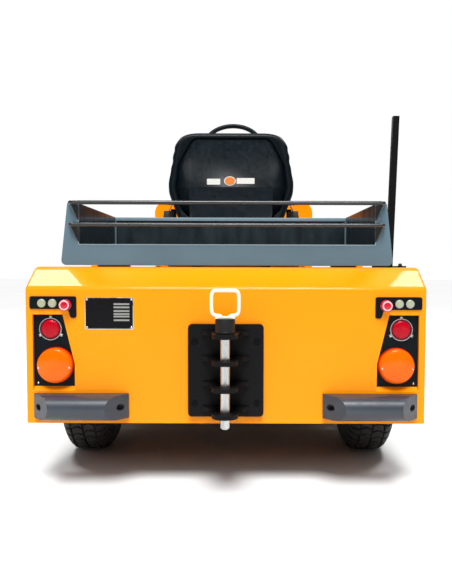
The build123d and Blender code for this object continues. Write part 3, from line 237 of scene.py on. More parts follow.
def worn_steel(name, colour, rough=0.45, stretch=(1, 1, 1), metal=1.0, streak=60):
    """Bare or plated steel with fine drawn streaks and dull patches."""
    tree = Tree(name)
    dull = tree.spread(tree.noise(14, 5), 0, 1)
    lines = tree.noise(streak, 4, stretch)
    return tree.done(
        Base_Color=tree.blend(dull, darker(colour, 0.72), colour),
        Metallic=metal,
        Roughness=tree.spread(lines, rough - 0.1, rough + 0.14),
        Normal=tree.bump(lines, 0.12, 0.0003),
    )


def tyre_rubber(name, colour):
    """Dull rubber, paler where it has scuffed on the road."""
    tree = Tree(name)
    scuff = tree.spread(tree.noise(18, 6), 0, 1, 0.42, 0.72)
    return tree.done(
        Base_Color=tree.blend(scuff, colour, tuple(c * 1.9 + 0.004 for c in colour)),
        Roughness=tree.spread(tree.noise(90, 3), 0.62, 0.85),
        Normal=tree.bump(tree.noise(700, 4), 0.3, 0.0006),
    )


def lens(name, colour, deep, rough=0.08, painted_glow=0.05, cell=0.0):
    """Coloured lens plastic, with a cell pattern under a glossy face and a faint emission: painted light standing in
    for light scattered in the lens.
    """
    tree = Tree(name)
    swirl = tree.spread(tree.noise(22, 3), 0, 1)
    shade = tree.blend(swirl, deep, colour)
    values = {}
    if cell:
        pattern = tree.cells(cell)
        values["Normal"] = tree.bump(pattern, 0.6, 0.0008)
        shade = tree.blend(tree.spread(pattern, 0, 1, 0.1, 0.6), shade, deep)
    return tree.done(
        Base_Color=shade,
        Roughness=tree.spread(tree.noise(40, 2), rough, rough + 0.1),
        Coat_Weight=0.15,
        Coat_Roughness=0.05,
        Specular_IOR_Level=0.15,
        Emission_Color=shade,
        Emission_Strength=painted_glow,
        **values,
    )


def vinyl(name, colour):
    """Seat vinyl with a leather grain and wrinkles, with painted shade: darker where the wrinkles sink."""
    tree = Tree(name)
    grain = tree.cells(260, "SMOOTH_F1")
    wrinkle_shade = tree.noise(30, 6)
    pores = tree.bump(grain, 0.5, 0.0006)
    return tree.done(
        # Painted shade: darker where the same noise dents the vinyl
        Base_Color=tree.blend(tree.spread(wrinkle_shade, 0, 1), darker(colour, 0.7), colour),
        Roughness=tree.spread(wrinkle_shade, 0.38, 0.55),
        Sheen_Weight=0.15,
        Normal=tree.bump(wrinkle_shade, 0.25, 0.0015, under=pores),
    )


def clear_glass(name, colour):
    """Clear moulded glass with fine upright fluting, tinted a little darker in its hollows: painted shade."""
    tree = Tree(name)
    ribs_and_shade = tree.noise(120, 1, (1, 1, 0.05))
    return tree.done(
        # Painted shade: darker where the same noise dents the glass
        Base_Color=tree.blend(tree.spread(ribs_and_shade, 0, 1), darker(colour, 0.85), colour),
        Roughness=tree.spread(ribs_and_shade, 0.02, 0.1),
        Transmission_Weight=0.9,
        IOR=1.45,
        Normal=tree.bump(ribs_and_shade, 0.3, 0.001),
    )


# Sizes and colours that a user would change


class TugSettings(bpy.types.PropertyGroup):
    """Sizes and colours of the tug's looks."""

    orange: bpy.props.FloatVectorProperty(
        name="Body orange", description="Colour of the body paint", default=(1.0, 0.31, 0.0),
        subtype="COLOR", size=3, min=0, max=1,
    )
    black: bpy.props.FloatVectorProperty(
        name="Frame black", description="Colour of the frame, hitch and mast", default=(0.008, 0.008, 0.009),
        subtype="COLOR", size=3, min=0, max=1,
    )
    tray: bpy.props.FloatVectorProperty(
        name="Tray blue-grey", description="Colour of the load tray and its rails", default=(0.11, 0.185, 0.235),
        subtype="COLOR", size=3, min=0, max=1,
    )
    amber: bpy.props.FloatVectorProperty(
        name="Amber lens", description="Colour of the signal lamps", default=(1.0, 0.14, 0.0),
        subtype="COLOR", size=3, min=0, max=1,
    )
    red: bpy.props.FloatVectorProperty(
        name="Red lens", description="Colour of reflectors and stop buttons", default=(0.8, 0.0, 0.02),
        subtype="COLOR", size=3, min=0, max=1,
    )
    tread_pitches: bpy.props.IntProperty(
        name="Tread pitches", description="Tread blocks round one tyre, in each of four columns", default=44,
        min=12, max=80,
    )
    tread_depth: bpy.props.FloatProperty(
        name="Tread depth", description="Depth of the grooves between tread blocks", default=0.008,
        min=0.002, max=0.02, unit="LENGTH",
    )
    sky: bpy.props.FloatProperty(
        name="Sky light", description="Strength of the broad light from above and behind", default=3.7, min=0,
    )
    fill: bpy.props.FloatProperty(
        name="Fill boxes", description="Power of the large soft boxes behind and ahead", default=40.0, min=0,
        unit="POWER",
    )
    boxes: bpy.props.FloatProperty(
        name="Side boxes", description="Power of the two soft boxes over the sides", default=50.0, min=0,
        unit="POWER",
    )
    surround: bpy.props.FloatProperty(
        name="Surrounding light", description="Strength of the pale studio all round", default=0.12, min=0,
    )


def settings():
    return bpy.context.scene.tug




# Modelling helpers


def at(x, y, z, axis=Z):
    """A place to model in: its z axis runs along the given axis, and its y axis up where it can."""
    quat = Vector(axis).to_track_quat("Z", "Y")
    return Matrix.Translation((x, y, z)) @ quat.to_matrix().to_4x4()


def bevel(bm, geom, width, segments=2, affect="EDGES"):
    bmesh.ops.bevel(
        bm, geom=geom, offset=width, offset_type="OFFSET", segments=segments, profile=0.5,
        affect=affect, clamp_overlap=True, material=-1,
    )


def merge(bm, part, place=None):
    """Moves a finished shape to its place and adds it to the piece."""
    bmesh.ops.recalc_face_normals(part, faces=part.faces)
    if place:
        bmesh.ops.transform(part, matrix=place, verts=part.verts)
    mesh = bpy.data.meshes.new("shape")
    part.to_mesh(mesh)
    part.free()
    bm.from_mesh(mesh)
    bpy.data.meshes.remove(mesh)


def lathe(bm, place, profile, steps=40, closed=False):
    """Spins a profile of (radius, height) pairs round the place's z axis."""
    part = bmesh.new()
    row = [part.verts.new((radius, 0, height)) for radius, height in profile]
    edges = [part.edges.new(pair) for pair in zip(row, row[1:])]
    if closed:
        edges.append(part.edges.new((row[-1], row[0])))
    bmesh.ops.spin(
        part, geom=row + edges, cent=(0, 0, 0), axis=Z, dvec=(0, 0, 0), angle=math.tau, steps=steps,
        use_merge=True, use_duplicate=False,
    )
    bmesh.ops.remove_doubles(part, verts=part.verts, dist=1e-6)
    merge(bm, part, place)


def rectangle(half_width, half_height):
    return [(x * half_width, y * half_height) for x, y in ((-1, -1), (1, -1), (1, 1), (-1, 1))]


def plate(bm, place, corners, depth, radius=0.0, edge=0.0, steps=5):
    """A flat plate over its corners, its corners rounded and its front edges broken."""
    part = bmesh.new()
    verts = [part.verts.new((x, y, 0)) for x, y in corners]
    part.faces.new(verts)
    if radius:
        bevel(part, part.verts[:], radius, steps, "VERTICES")
    made = bmesh.ops.extrude_face_region(part, geom=part.faces[:], use_keep_orig=True)
    front = [item for item in made["geom"] if isinstance(item, bmesh.types.BMVert)]
    bmesh.ops.translate(part, verts=front, vec=(0, 0, depth))
    if edge:
        rim = [e for e in part.edges if all(abs(v.co.z - depth) < 1e-7 for v in e.verts)]
        bevel(part, rim, edge)
    merge(bm, part, place)


def block(bm, place, size, edge=0.0, segments=2):
    part = bmesh.new()
    bmesh.ops.create_cube(part, size=1, matrix=Matrix.Diagonal((*size, 1)))
    if edge:
        bevel(part, part.edges[:], edge, segments)
    merge(bm, part, place)


def hex_head(bm, place, across, height):
    """A hexagon head with a washer under it."""
    lathe(bm, place, [(0, 0), (across * 0.75, 0), (across * 0.75, 0.0015), (0, 0.0015)], 24)
    part = bmesh.new()
    bmesh.ops.create_cone(
        part, cap_ends=True, cap_tris=False, segments=6, radius1=across / math.sqrt(3),
        radius2=across / math.sqrt(3), depth=height,
    )
    bmesh.ops.translate(part, verts=part.verts, vec=(0, 0, 0.0015 + height / 2))
    bevel(part, [e for e in part.edges if all(v.co.z > height for v in e.verts)], height * 0.12)
    merge(bm, part, place)


def socket_head(bm, place, radius, height):
    """A cap screw with a socket in its head."""
    lathe(bm, place, [
        (0, height * 0.4), (radius * 0.48, height * 0.4), (radius * 0.52, height), (radius * 0.86, height),
        (radius, height * 0.84), (radius, 0), (0, 0),
    ], 24)


def dome_head(bm, place, radius, height):
    lathe(bm, place, [
        (0, height), (radius * 0.45, height * 0.92), (radius * 0.8, height * 0.6), (radius, height * 0.12),
        (radius, 0), (0, 0),
    ], 20)


def tube(bm, points, radius, sides=12, bend=8):
    """A round bar along the points, its corners rounded by a smooth curve."""
    curve = bpy.data.curves.new("bar", "CURVE")
    curve.dimensions = "3D"
    curve.bevel_depth = radius
    curve.bevel_resolution = sides // 4
    curve.resolution_u = bend
    curve.use_fill_caps = True
    spline = curve.splines.new("NURBS")
    spline.points.add(len(points) - 1)
    for spot, point in zip(spline.points, points):
        spot.co = (*point, 1)
    spline.use_endpoint_u = True
    spline.order_u = 3
    bar = bpy.data.objects.new("bar", curve)
    bpy.context.scene.collection.objects.link(bar)
    mesh = bpy.data.meshes.new_from_object(bar.evaluated_get(bpy.context.evaluated_depsgraph_get()))
    part = bmesh.new()
    part.from_mesh(mesh)
    bmesh.ops.remove_doubles(part, verts=part.verts, dist=1e-6)
    bpy.data.objects.remove(bar)
    bpy.data.curves.remove(curve)
    bpy.data.meshes.remove(mesh)
    merge(bm, part)


def put(name, bm, slot, finish=None, sharp=32, body="chassis"):
    """Makes the bmesh a finished piece that rides on a body."""
    bmesh.ops.remove_doubles(bm, verts=bm.verts, dist=1e-6)
    mesh = bpy.data.meshes.new(name)
    bm.to_mesh(mesh)
    bm.free()
    mesh.shade_smooth()
    mesh.set_sharp_from_angle(angle=math.radians(sharp))
    mesh.materials.append(FINISHES[finish or slot])
    piece = bpy.data.objects.new(name, mesh)
    bpy.context.scene.collection.objects.link(piece)
    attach(piece, body)
    return piece


SIDES = (("left", -1), ("right", 1))
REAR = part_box("hitch_ladder")[1].y
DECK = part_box("mast")[0].z
PLATE_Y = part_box("lamp_plates")[0].y

# Places on the tug that no node's box gives, in metres: offsets from the middle, then heights
REFLECTOR_SPOT = (0.5265, 0.4805)
BUTTON_OFFSETS = (0.548, 0.516)
BUTTON_HEIGHT = 0.5585
STOP_SPOT = (0.4765, 0.5535)
DATA_PLATE = (-0.421, -0.276, 0.480, 0.576)
FOOT_LEVEL = 0.360
SPRING_OFFSET = 0.300
NUT_CIRCLE = 0.0535


def mid(node):
    low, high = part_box(node)
    return (low + high) / 2


# Operators


# Nodes whose photographed colour isn't that of their slot
NODE_FINISHES = {"tray_rails": "rail_black"}


class PaintNodes(bpy.types.Operator):
    """Make every finish and give each CAD node the one of its slot"""

    bl_idname = "tug.paint_nodes"
    bl_label = "Paint the frame's nodes"

    def execute(self, context):
        s = settings()
        painted("orange_paint", s.orange, 0.42, 0.03, 0.25, gloss=0.06)
        painted("frame_black", s.black, 0.34, 0.2, 0.0, gloss=0.07)
        # The tray's paint, with painted shade over its interior forward of the rear rim
        tray_paint("tray_paint", s.tray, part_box("tray")[0].y + 0.0055)
        painted("rail_black", (0.02, 0.024, 0.026), 0.3, 0.3, 0.3)
        painted("rim_paint", (0.62, 0.62, 0.6), 0.35, 0.08, 0.4)
        painted("battery_grey", (0.05, 0.055, 0.06), 0.5, 0.2, 0.0, gloss=0.3)
        moulded("black_plastic", (0.003, 0.0065, 0.0095), 0.36, gloss=0.12)
        moulded("pad_rubber", (0.042, 0.052, 0.068), 0.38, 900, 0.0002, gloss=0.5)
        moulded("button_plastic", (0.42, 0.45, 0.32), 0.25, 300, 0.0003, 0.5)
        tyre_rubber("tyre_rubber", (0.011, 0.010, 0.009))
        vinyl("seat_vinyl", (0.014, 0.014, 0.016))
        worn_steel("dark_steel", (0.05, 0.05, 0.052), 0.5, metal=0.6)
        worn_steel("zinc_steel", (0.7, 0.72, 0.7), 0.3)
        # The amber lens, the red reflectors' lens and the amber base carry a faint emission: painted light, not
        # lamps
        lens("amber_lens", s.amber, darker(s.amber, 0.8), painted_glow=0.1)
        lens("red_lens", s.red, darker(s.red, 0.45), cell=260)
        lens("clear_lens", (0.75, 0.78, 0.8), (0.4, 0.42, 0.45), painted_glow=0.0)
        lens("amber_base", (0.75, 0.03, 0.0), (0.4, 0.01, 0.0), painted_glow=0.05)
        moulded("red_shade", (0.09, 0.0, 0.006), 0.4)
        moulded("stop_red", (0.62, 0.0, 0.02), 0.28, coat=0.6)
        moulded("stop_ring", (0.85, 0.55, 0.6), 0.4)
        moulded("plate_black", (0.003, 0.003, 0.004), 0.3, 300, 0.0001, 0.1, gloss=0.1)
        painted("plate_strip", (0.30, 0.30, 0.28), 0.45, 0.2, 0.0)
        painted("label_white", (0.85, 0.83, 0.78), 0.4, 0.06, 0.3)
        painted("badge_orange", (0.9, 0.22, 0.0), 0.35, 0.1, 0.5)
        moulded("webbing", (0.12, 0.12, 0.11), 0.7, 700, 0.0006)
        moulded("mat_rubber", (0.014, 0.014, 0.015), 0.6, 500, 0.0004)
        worn_steel("pin_zinc", (0.66, 0.68, 0.68), 0.28, (1, 1, 0.06), 0.9, 90)
        moulded("collar_rubber", (0.012, 0.012, 0.012), 0.45, 700, 0.0003)
        painted("handle_cream", (0.88, 0.85, 0.72), 0.4, 0.1, 0.4)
        # Paler than the tray paint: painted highlights along the folded sheet edges
        painted("tray_edge_highlight", (0.25, 0.36, 0.42), 0.3, 0.12, 0.6)
        worn_steel("chrome", (0.85, 0.86, 0.88), 0.15)
        clear_glass("headlamp_glass", (0.9, 0.93, 0.95))
        for part in frame["record"]["subparts"]:
            node = frame["nodes"][part["node"]]
            material = FINISHES[NODE_FINISHES.get(part["node"], part["material_slot"])]
            for spot in node.material_slots:
                spot.material = material
        return {"FINISHED"}


# Wheels


def crown(share, radius):
    """The tread's radius at a share of the half width."""
    return radius - 0.05 * max(0.0, (share - 0.5) / 0.5) ** 2.2


def tread_column(bm, place, radius, half, across, start, skew, sizes):
    """One column of tread blocks: a flat block, cut, wrapped round the tyre and repeated."""
    pitches, groove = sizes.tread_pitches, sizes.tread_depth
    pitch = math.tau * radius / pitches
    part = bmesh.new()
    bmesh.ops.create_grid(part, x_segments=4, y_segments=2, size=0.5)
    for vert in part.verts:
        x, y = vert.co.x, vert.co.y
        vert.co.x = half * (across[0] + (x + 0.5) * (across[1] - across[0]))
        vert.co.y = pitch * (start + 0.39 + y * 0.78) + skew * pitch * abs(x) * 2
    made = bmesh.ops.extrude_face_region(part, geom=part.faces[:], use_keep_orig=True)
    top = [item for item in made["geom"] if isinstance(item, bmesh.types.BMVert)]
    bmesh.ops.translate(part, verts=top, vec=(0, 0, groove + 0.002))
    bmesh.ops.recalc_face_normals(part, faces=part.faces)
    rim = [e for e in part.edges if all(v.co.z > groove for v in e.verts) and e.calc_face_angle(0) > 0.6]
    bevel(part, rim, 0.0018, 1)
    for vert in part.verts:
        reach = crown(abs(vert.co.x) / half, radius) - groove - 0.002 + vert.co.z
        angle = vert.co.y / radius
        vert.co = (reach * math.cos(angle), reach * math.sin(angle), vert.co.x)
    bmesh.ops.spin(
        part, geom=part.verts[:] + part.edges[:] + part.faces[:], cent=(0, 0, 0), axis=Z, dvec=(0, 0, 0),
        angle=math.tau * (pitches - 1) / pitches, steps=pitches - 1, use_merge=False, use_duplicate=True,
    )
    merge(bm, part, place)


class AddTyres(bpy.types.Operator):
    """Four tyres with round shoulders, ribbed side walls and staggered zigzag blocks"""

    bl_idname = "tug.add_tyres"
    bl_label = "Tyres"

    def execute(self, context):
        s = settings()
        for end in ("rear", "front"):
            for name, _ in SIDES:
                low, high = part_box(f"{end}_tyre_{name}")
                radius, half = (high.z - low.z) / 2, (high.x - low.x) / 2
                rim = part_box(f"{end}_rim_{name}")
                bore = (rim[1].z - rim[0].z) / 2
                place = at(*((low + high) / 2), axis=X)
                base = [(crown(u, radius) - s.tread_depth, u * half) for u in (0.0, 0.3, 0.5, 0.65, 0.8, 0.92)]
                wall = [
                    (radius - 0.062, half * 0.985), (radius - 0.066, half * 0.985), (radius - 0.068, half),
                    (radius - 0.078, half), (radius - 0.080, half * 0.985), (bore + 0.026, half * 0.95),
                    (bore + 0.014, half * 0.86), (bore + 0.010, half * 0.84), (bore + 0.004, half * 0.80),
                    (bore, half * 0.72),
                ]
                outer = base + wall
                bm = bmesh.new()
                lathe(bm, place, outer[::-1] + [(r, -h) for r, h in outer[1:]], 72, closed=True)
                for across, start, skew in (
                    ((-0.97, -0.53), 0.0, -0.22), ((-0.46, -0.03), 0.5, 0.3),
                    ((0.03, 0.46), 0.0, 0.3), ((0.53, 0.97), 0.5, -0.22),
                ):
                    tread_column(bm, place, radius, half, across, start, skew, s)
                tyre = put(f"{end}_tread_{name}", bm, "tyre_rubber", body=f"{end}_wheel_{name}")
                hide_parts(f"{end}_tyre_{name}")
        return {"FINISHED"}


class AddWheelNuts(bpy.types.Operator):
    """Five nuts and a grease cap on each rim"""

    bl_idname = "tug.add_wheel_nuts"
    bl_label = "Wheel nuts and caps"

    def execute(self, context):
        for end, disc in (("rear", 0.0248), ("front", 0.0168)):
            for name, side in SIDES:
                centre = mid(f"{end}_rim_{name}")
                bm = bmesh.new()
                for count in range(5):
                    angle = math.radians(36 + 72 * count)
                    hex_head(bm, at(
                        centre.x + side * disc, centre.y + NUT_CIRCLE * math.cos(angle),
                        centre.z + NUT_CIRCLE * math.sin(angle), axis=X * side,
                    ), 0.017, 0.011)
                lathe(bm, at(centre.x + side * 0.03, centre.y, centre.z, axis=X * side), [
                    (0, 0), (0.034, 0), (0.034, 0.003), (0.028, 0.004), (0.026, 0.014), (0.02, 0.019), (0, 0.0205),
                ])
                put(f"{end}_nuts_{name}", bm, "zinc_steel", body=f"{end}_wheel_{name}")
        return {"FINISHED"}


# Rear face


class AddSignalLamps(bpy.types.Operator):
    """Amber signal lamps: a base, a smooth domed lens and its two screws"""

    bl_idname = "tug.add_signal_lamps"
    bl_label = "Amber signal lamps"

    def execute(self, context):
        low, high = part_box("amber_lamps")
        radius = (high.z - low.z) / 2
        depth = high.y - low.y
        level = (low.z + high.z) / 2
        lenses, bases, screws = bmesh.new(), bmesh.new(), bmesh.new()
        for side in (-1, 1):
            x = side * (high.x - radius)
            place = at(x, high.y, level, axis=-Y)
            lathe(bases, place, [(0, 0), (radius, 0), (radius, 0.009), (radius - 0.0015, 0.0105), (0, 0.0105)], 64)
            lathe(lenses, place, [
                (0, 0.0105), (radius - 0.0022, 0.0105), (radius - 0.0022, depth - 0.0125),
                (radius - 0.0035, depth - 0.0085), (radius - 0.0065, depth - 0.0055),
                (radius - 0.011, depth - 0.004), (radius * 0.6, depth - 0.0016), (radius * 0.3, depth - 0.0004),
                (0, depth),
            ], 64)
            for edge in (-1, 1):
                screw = at(x + edge * (radius - 0.0085), low.y + 0.0058, level - 0.006, axis=-Y)
                dome_head(screws, screw, 0.0033, 0.0022)
            dome_head(screws, at(side * 0.5665, PLATE_Y, 0.3165, axis=-Y), 0.0035, 0.0022)
        lens_piece = put("amber_lenses", lenses, "amber_lens", sharp=50)
        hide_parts("amber_lamps")
        put("amber_bases", bases, "amber_lens", "amber_base")
        put("lamp_screws", screws, "zinc_steel")
        return {"FINISHED"}


class AddReflectors(bpy.types.Operator):
    """Red reflectors: silver ring with three screwed ears round a domed lens"""

    bl_idname = "tug.add_reflectors"
    bl_label = "Red reflectors"

    def execute(self, context):
        foot_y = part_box("red_reflectors")[1].y
        x, z = REFLECTOR_SPOT
        rings, domes, seats = bmesh.new(), bmesh.new(), bmesh.new()
        for side in (-1, 1):
            place = at(side * x, foot_y, z, axis=-Y)
            lathe(rings, place, [
                (0.0312, 0), (0.0340, 0), (0.0340, 0.0052), (0.0334, 0.0062), (0.0318, 0.0062), (0.0312, 0.0052),
            ], 64, closed=True)
            lathe(seats, place, [(0, 0), (0.0312, 0), (0.0312, 0.0036), (0, 0.0036)], 64)
            lathe(domes, place, [
                (0, 0.0030), (0.0268, 0.0030), (0.0268, 0.0052), (0.0258, 0.0066), (0.0215, 0.0080), (0.012, 0.0087),
                (0, 0.0089),
            ], 64)
            for angle in (90, 210, 330):
                turned = place @ Matrix.Rotation(math.radians(angle), 4, "Z")
                turned @= Matrix.Translation((0.0365, 0, 0.0014))
                block(rings, turned, (0.008, 0.0085, 0.0028), 0.0009)
                dome_head(rings, turned @ Matrix.Translation((0.0008, 0, 0.0014)), 0.0030, 0.0018)
        ring_piece = put("reflector_rings", rings, "zinc_steel")
        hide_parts("red_reflectors")
        put("reflector_seats", seats, "red_lens", "red_shade")
        put("reflector_domes", domes, "red_lens", sharp=60)
        return {"FINISHED"}


class AddButtons(bpy.types.Operator):
    """Inching buttons with bezels, and stop buttons with a pale ring"""

    bl_idname = "tug.add_buttons"
    bl_label = "Push buttons"

    def execute(self, context):
        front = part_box("button_panels")[0].y
        bezels, domes, stops, rings = bmesh.new(), bmesh.new(), bmesh.new(), bmesh.new()
        for side in (-1, 1):
            for x in BUTTON_OFFSETS:
                place = at(side * x, front, BUTTON_HEIGHT, axis=-Y)
                lathe(bezels, place, [
                    (0.0128, 0), (0.0146, 0), (0.0146, 0.0022), (0.0138, 0.0032), (0.0128, 0.0032),
                ], 40, closed=True)
                lathe(domes, place, [
                    (0, 0), (0.0127, 0), (0.0127, 0.0042), (0.0119, 0.0056), (0.0085, 0.0066), (0.004, 0.0069),
                    (0, 0.007),
                ], 40)
            place = at(side * STOP_SPOT[0], front, STOP_SPOT[1], axis=-Y)
            lathe(stops, place, [
                (0, 0), (0.0168, 0), (0.0172, 0.003), (0.0125, 0.0045), (0.0108, 0.0052), (0.0108, 0.0110),
                (0.0160, 0.0120), (0.0169, 0.0150), (0.0160, 0.0195), (0.0140, 0.0208), (0.0105, 0.0208),
                (0.0092, 0.0216),
                (0, 0.0220),
            ], 48)
            lathe(rings, place, [
                (0.0106, 0.0206), (0.0109, 0.0215), (0.0142, 0.0215), (0.0148, 0.0206),
            ], 48, closed=True)
        dome_piece = put("button_domes", domes, "button_plastic", sharp=50)
        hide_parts("push_buttons")
        put("button_bezels", bezels, "black_plastic")
        put("stop_buttons", stops, "button_plastic", "stop_red", sharp=50)
        put("stop_rings", rings, "button_plastic", "stop_ring")
        return {"FINISHED"}


class AddNameplate(bpy.types.Operator):
    """A blank data plate: silver edge, black field, six pale strips and four screws"""

    bl_idname = "tug.add_nameplate"
    bl_label = "Blank data plate"

    def execute(self, context):
        x0, x1, z0, z1 = DATA_PLATE
        edge, field, strips = bmesh.new(), bmesh.new(), bmesh.new()
        cx, cz = (x0 + x1) / 2, (z0 + z1) / 2
        w, h = (x1 - x0) / 2, (z1 - z0) / 2
        plate(edge, at(cx, REAR, cz, axis=-Y), rectangle(w, h), 0.0010, 0.004, 0.0003)
        plate(field, at(cx, REAR - 0.0010, cz, axis=-Y), rectangle(w - 0.0022, h - 0.0022), 0.0003, 0.003)
        for level in (0.556, 0.5465, 0.5355, 0.5265, 0.519, 0.508):
            plate(strips, at(-0.3115, REAR - 0.0013, level, axis=-Y), rectangle(0.0235, 0.0026), 0.0002)
        for sx in (-1, 1):
            for sz in (-1, 1):
                corner = at(cx + sx * (w - 0.006), REAR - 0.0012, cz + sz * (h - 0.006), axis=-Y)
                dome_head(edge, corner, 0.0033, 0.0014)
        put("data_plate_edge", edge, "zinc_steel")
        put("data_plate_field", field, "black_plastic", "plate_black")
        put("data_plate_strips", strips, "button_plastic", "plate_strip")
        return {"FINISHED"}


class AddBolts(bpy.types.Operator):
    """Cap screws in the bumper pads, the hitch plate and the mast's foot"""

    bl_idname = "tug.add_bolts"
    bl_label = "Pad, hitch and mast bolts"

    def execute(self, context):
        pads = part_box("bumper_pads")
        level = (pads[0].z + pads[1].z) / 2
        bm = bmesh.new()
        for side in (-1, 1):
            for x in (pads[1].x - 0.020, pads[1].x - 0.282 + 0.020):
                socket_head(bm, at(side * x, REAR - 0.0082, level, axis=-Y), 0.0088, 0.007)
        put("pad_screws", bm, "dark_steel")
        bm = bmesh.new()
        plate_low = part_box("hitch_ladder")[0].z
        for z in (plate_low + 0.041, plate_low + 0.225):
            for x in (-0.093, 0.093):
                socket_head(bm, at(x, REAR - 0.0062, z, axis=-Y), 0.0092, 0.0072)
        put("hitch_screws", bm, "dark_steel", "frame_black")
        bm = bmesh.new()
        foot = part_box("mast")
        for x in (foot[0].x + 0.012, foot[0].x + 0.085):
            hex_head(bm, at(x, (foot[0].y + foot[1].y) / 2, DECK + 0.005), 0.010, 0.0065)
        put("mast_bolts", bm, "dark_steel")
        return {"FINISHED"}


class AddTowPin(bpy.types.Operator):
    """The drop pin: plated bar, black collar, cream saddle and loop handle"""

    bl_idname = "tug.add_tow_pin"
    bl_label = "Tow pin"

    def execute(self, context):
        low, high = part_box("tow_pin")
        y = (low.y + high.y) / 2
        collar_low = low.z + 0.2754
        collar_high = collar_low + 0.042
        bm = bmesh.new()
        lathe(bm, at(0, y, 0), [
            (0, low.z), (0.0095, low.z), (0.0138, low.z + 0.0045), (0.0138, collar_low),
        ] + [(0, collar_low)], 48)
        pin = put("tow_pin_bar", bm, "zinc_steel", "pin_zinc", body="tow_pin")
        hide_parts("tow_pin")
        bm = bmesh.new()
        lathe(bm, at(0, y, 0), [
            (0, collar_low), (0.0275, collar_low), (0.029, collar_low + 0.0015), (0.029, collar_low + 0.006),
            (0.0284, collar_low + 0.0068), (0.0284, collar_high - 0.003), (0.0274, collar_high), (0, collar_high),
        ], 48)
        put("tow_pin_collar", bm, "pad_rubber", "collar_rubber", body="tow_pin")
        bm = bmesh.new()
        plate(bm, at(0, y + 0.014, collar_high, axis=-Y), [
            (-0.0275, 0), (0.0275, 0), (0.0290, 0.0045), (0.0285, 0.0105), (0.0225, 0.0135), (0.0130, 0.0125),
            (0.0085, 0.0075), (0, 0.0060), (-0.0085, 0.0075), (-0.0130, 0.0125), (-0.0225, 0.0135),
            (-0.0285, 0.0105), (-0.0290, 0.0045),
        ], 0.028, 0, 0.003)
        half = [
            (0.0190, 0.0095), (0.0300, 0.0095), (0.0375, 0.0150), (0.0392, 0.0290), (0.0392, 0.0500),
            (0.0390, 0.0680), (0.0345, 0.0800), (0.0200, 0.0805), (0.0000, 0.0805),
        ]
        loop = [(x, y, collar_high + z) for x, z in half] + [(-x, y, collar_high + z) for x, z in half[-2::-1]]
        tube(bm, loop, 0.0052, sides=16)
        put("tow_pin_handle", bm, "zinc_steel", "handle_cream", body="tow_pin")
        return {"FINISHED"}


# Seat


def settled(mesh_object):
    """The object's mesh with its modifiers applied."""
    graph = bpy.context.evaluated_depsgraph_get()
    graph.update()
    return bpy.data.meshes.new_from_object(mesh_object.evaluated_get(graph))


def stuffed(name, node, shrink, cap, slot, finish, grooves):
    """Turns a copy of a pad's solid into a swollen, seamed cushion that replaces it."""
    source = frame["nodes"][node]
    low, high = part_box(node)
    centre = (low + high) / 2
    bm = bmesh.new()
    bm.from_mesh(source.data)
    bmesh.ops.remove_doubles(bm, verts=bm.verts, dist=1e-5)
    bmesh.ops.translate(bm, verts=bm.verts, vec=-centre)
    bmesh.ops.scale(bm, verts=bm.verts, vec=shrink)
    bmesh.ops.translate(bm, verts=bm.verts, vec=centre)
    if node == "seat_back_pad":
        reshape(bm.verts)
    pad = put(name, bm, slot, finish, 180)
    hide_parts(node)
    remesh = pad.modifiers.new("voxels", "REMESH")
    remesh.mode = "VOXEL"
    remesh.voxel_size = 0.006
    start = settled(pad)
    pad.modifiers.clear()
    pad.data = start
    rest = [vert.co.copy() for vert in start.vertices]
    cloth = pad.modifiers.new("swell", "CLOTH")
    cloth.settings.use_pressure = True
    cloth.settings.uniform_pressure_force = 4
    cloth.settings.effector_weights.gravity = 0
    cloth.point_cache.frame_start = 1
    cloth.point_cache.frame_end = 20
    for count in range(1, 21):
        bpy.context.scene.frame_set(count)
    swollen = settled(pad)
    pad.modifiers.clear()
    for vert, origin in zip(swollen.vertices, rest):
        move = vert.co - origin
        if move.length > cap:
            vert.co = origin + move * (cap / move.length)
    pad.data = swollen
    bpy.context.scene.frame_set(1)
    bm = bmesh.new()
    bm.from_mesh(pad.data)
    bmesh.ops.smooth_vert(bm, verts=bm.verts, factor=0.5, use_axis_x=True, use_axis_y=True, use_axis_z=True)
    bm.normal_update()
    for vert in bm.verts:
        sink = sum(depth * math.exp(-((vert.co.dot(along) - spot) / width) ** 2) * max(0.0, vert.normal.dot(facing))
                   for along, spot, width, depth, facing in grooves)
        vert.co -= vert.normal * sink
    bm.to_mesh(pad.data)
    bm.free()
    pad.data.materials.clear()
    pad.data.materials.append(FINISHES[finish])
    pad.data.shade_smooth()
    smooth = pad.modifiers.new("smooth", "SUBSURF")
    smooth.levels = smooth.render_levels = 1
    return pad


def seat_width(height):
    """How much wider or narrower the seat back is at a height than its solid."""
    steps = ((0.78, 0.97), (0.92, 1.0), (0.985, 1.017), (1.028, 1.032), (1.071, 1.03), (1.113, 0.99), (1.155, 0.935),
             (1.198, 0.89), (1.23, 0.865))
    for (low, first), (high, second) in zip(steps, steps[1:]):
        if height <= high:
            share = max(0.0, (height - low) / (high - low))
            share = share * share * (3 - 2 * share)
            return first + (second - first) * share
    return steps[-1][1]


def reshape(verts):
    """Draws the seat back in towards its top, as the photograph shows it."""
    for vert in verts:
        vert.co.x *= seat_width(vert.co.z)
        vert.co.z += 0.010 * max(0.0, (vert.co.z - 0.95) / 0.27)


class AddSeatShell(bpy.types.Operator):
    """The moulded shell of the seat back, drawn in towards its top"""

    bl_idname = "tug.add_seat_shell"
    bl_label = "Seat shell"

    def execute(self, context):
        bm = bmesh.new()
        bm.from_mesh(frame["nodes"]["seat_back_shell"].data)
        bmesh.ops.remove_doubles(bm, verts=bm.verts, dist=1e-5)
        reshape(bm.verts)
        shell = put("seat_shell", bm, "black_plastic")
        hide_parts("seat_back_shell")
        return {"FINISHED"}


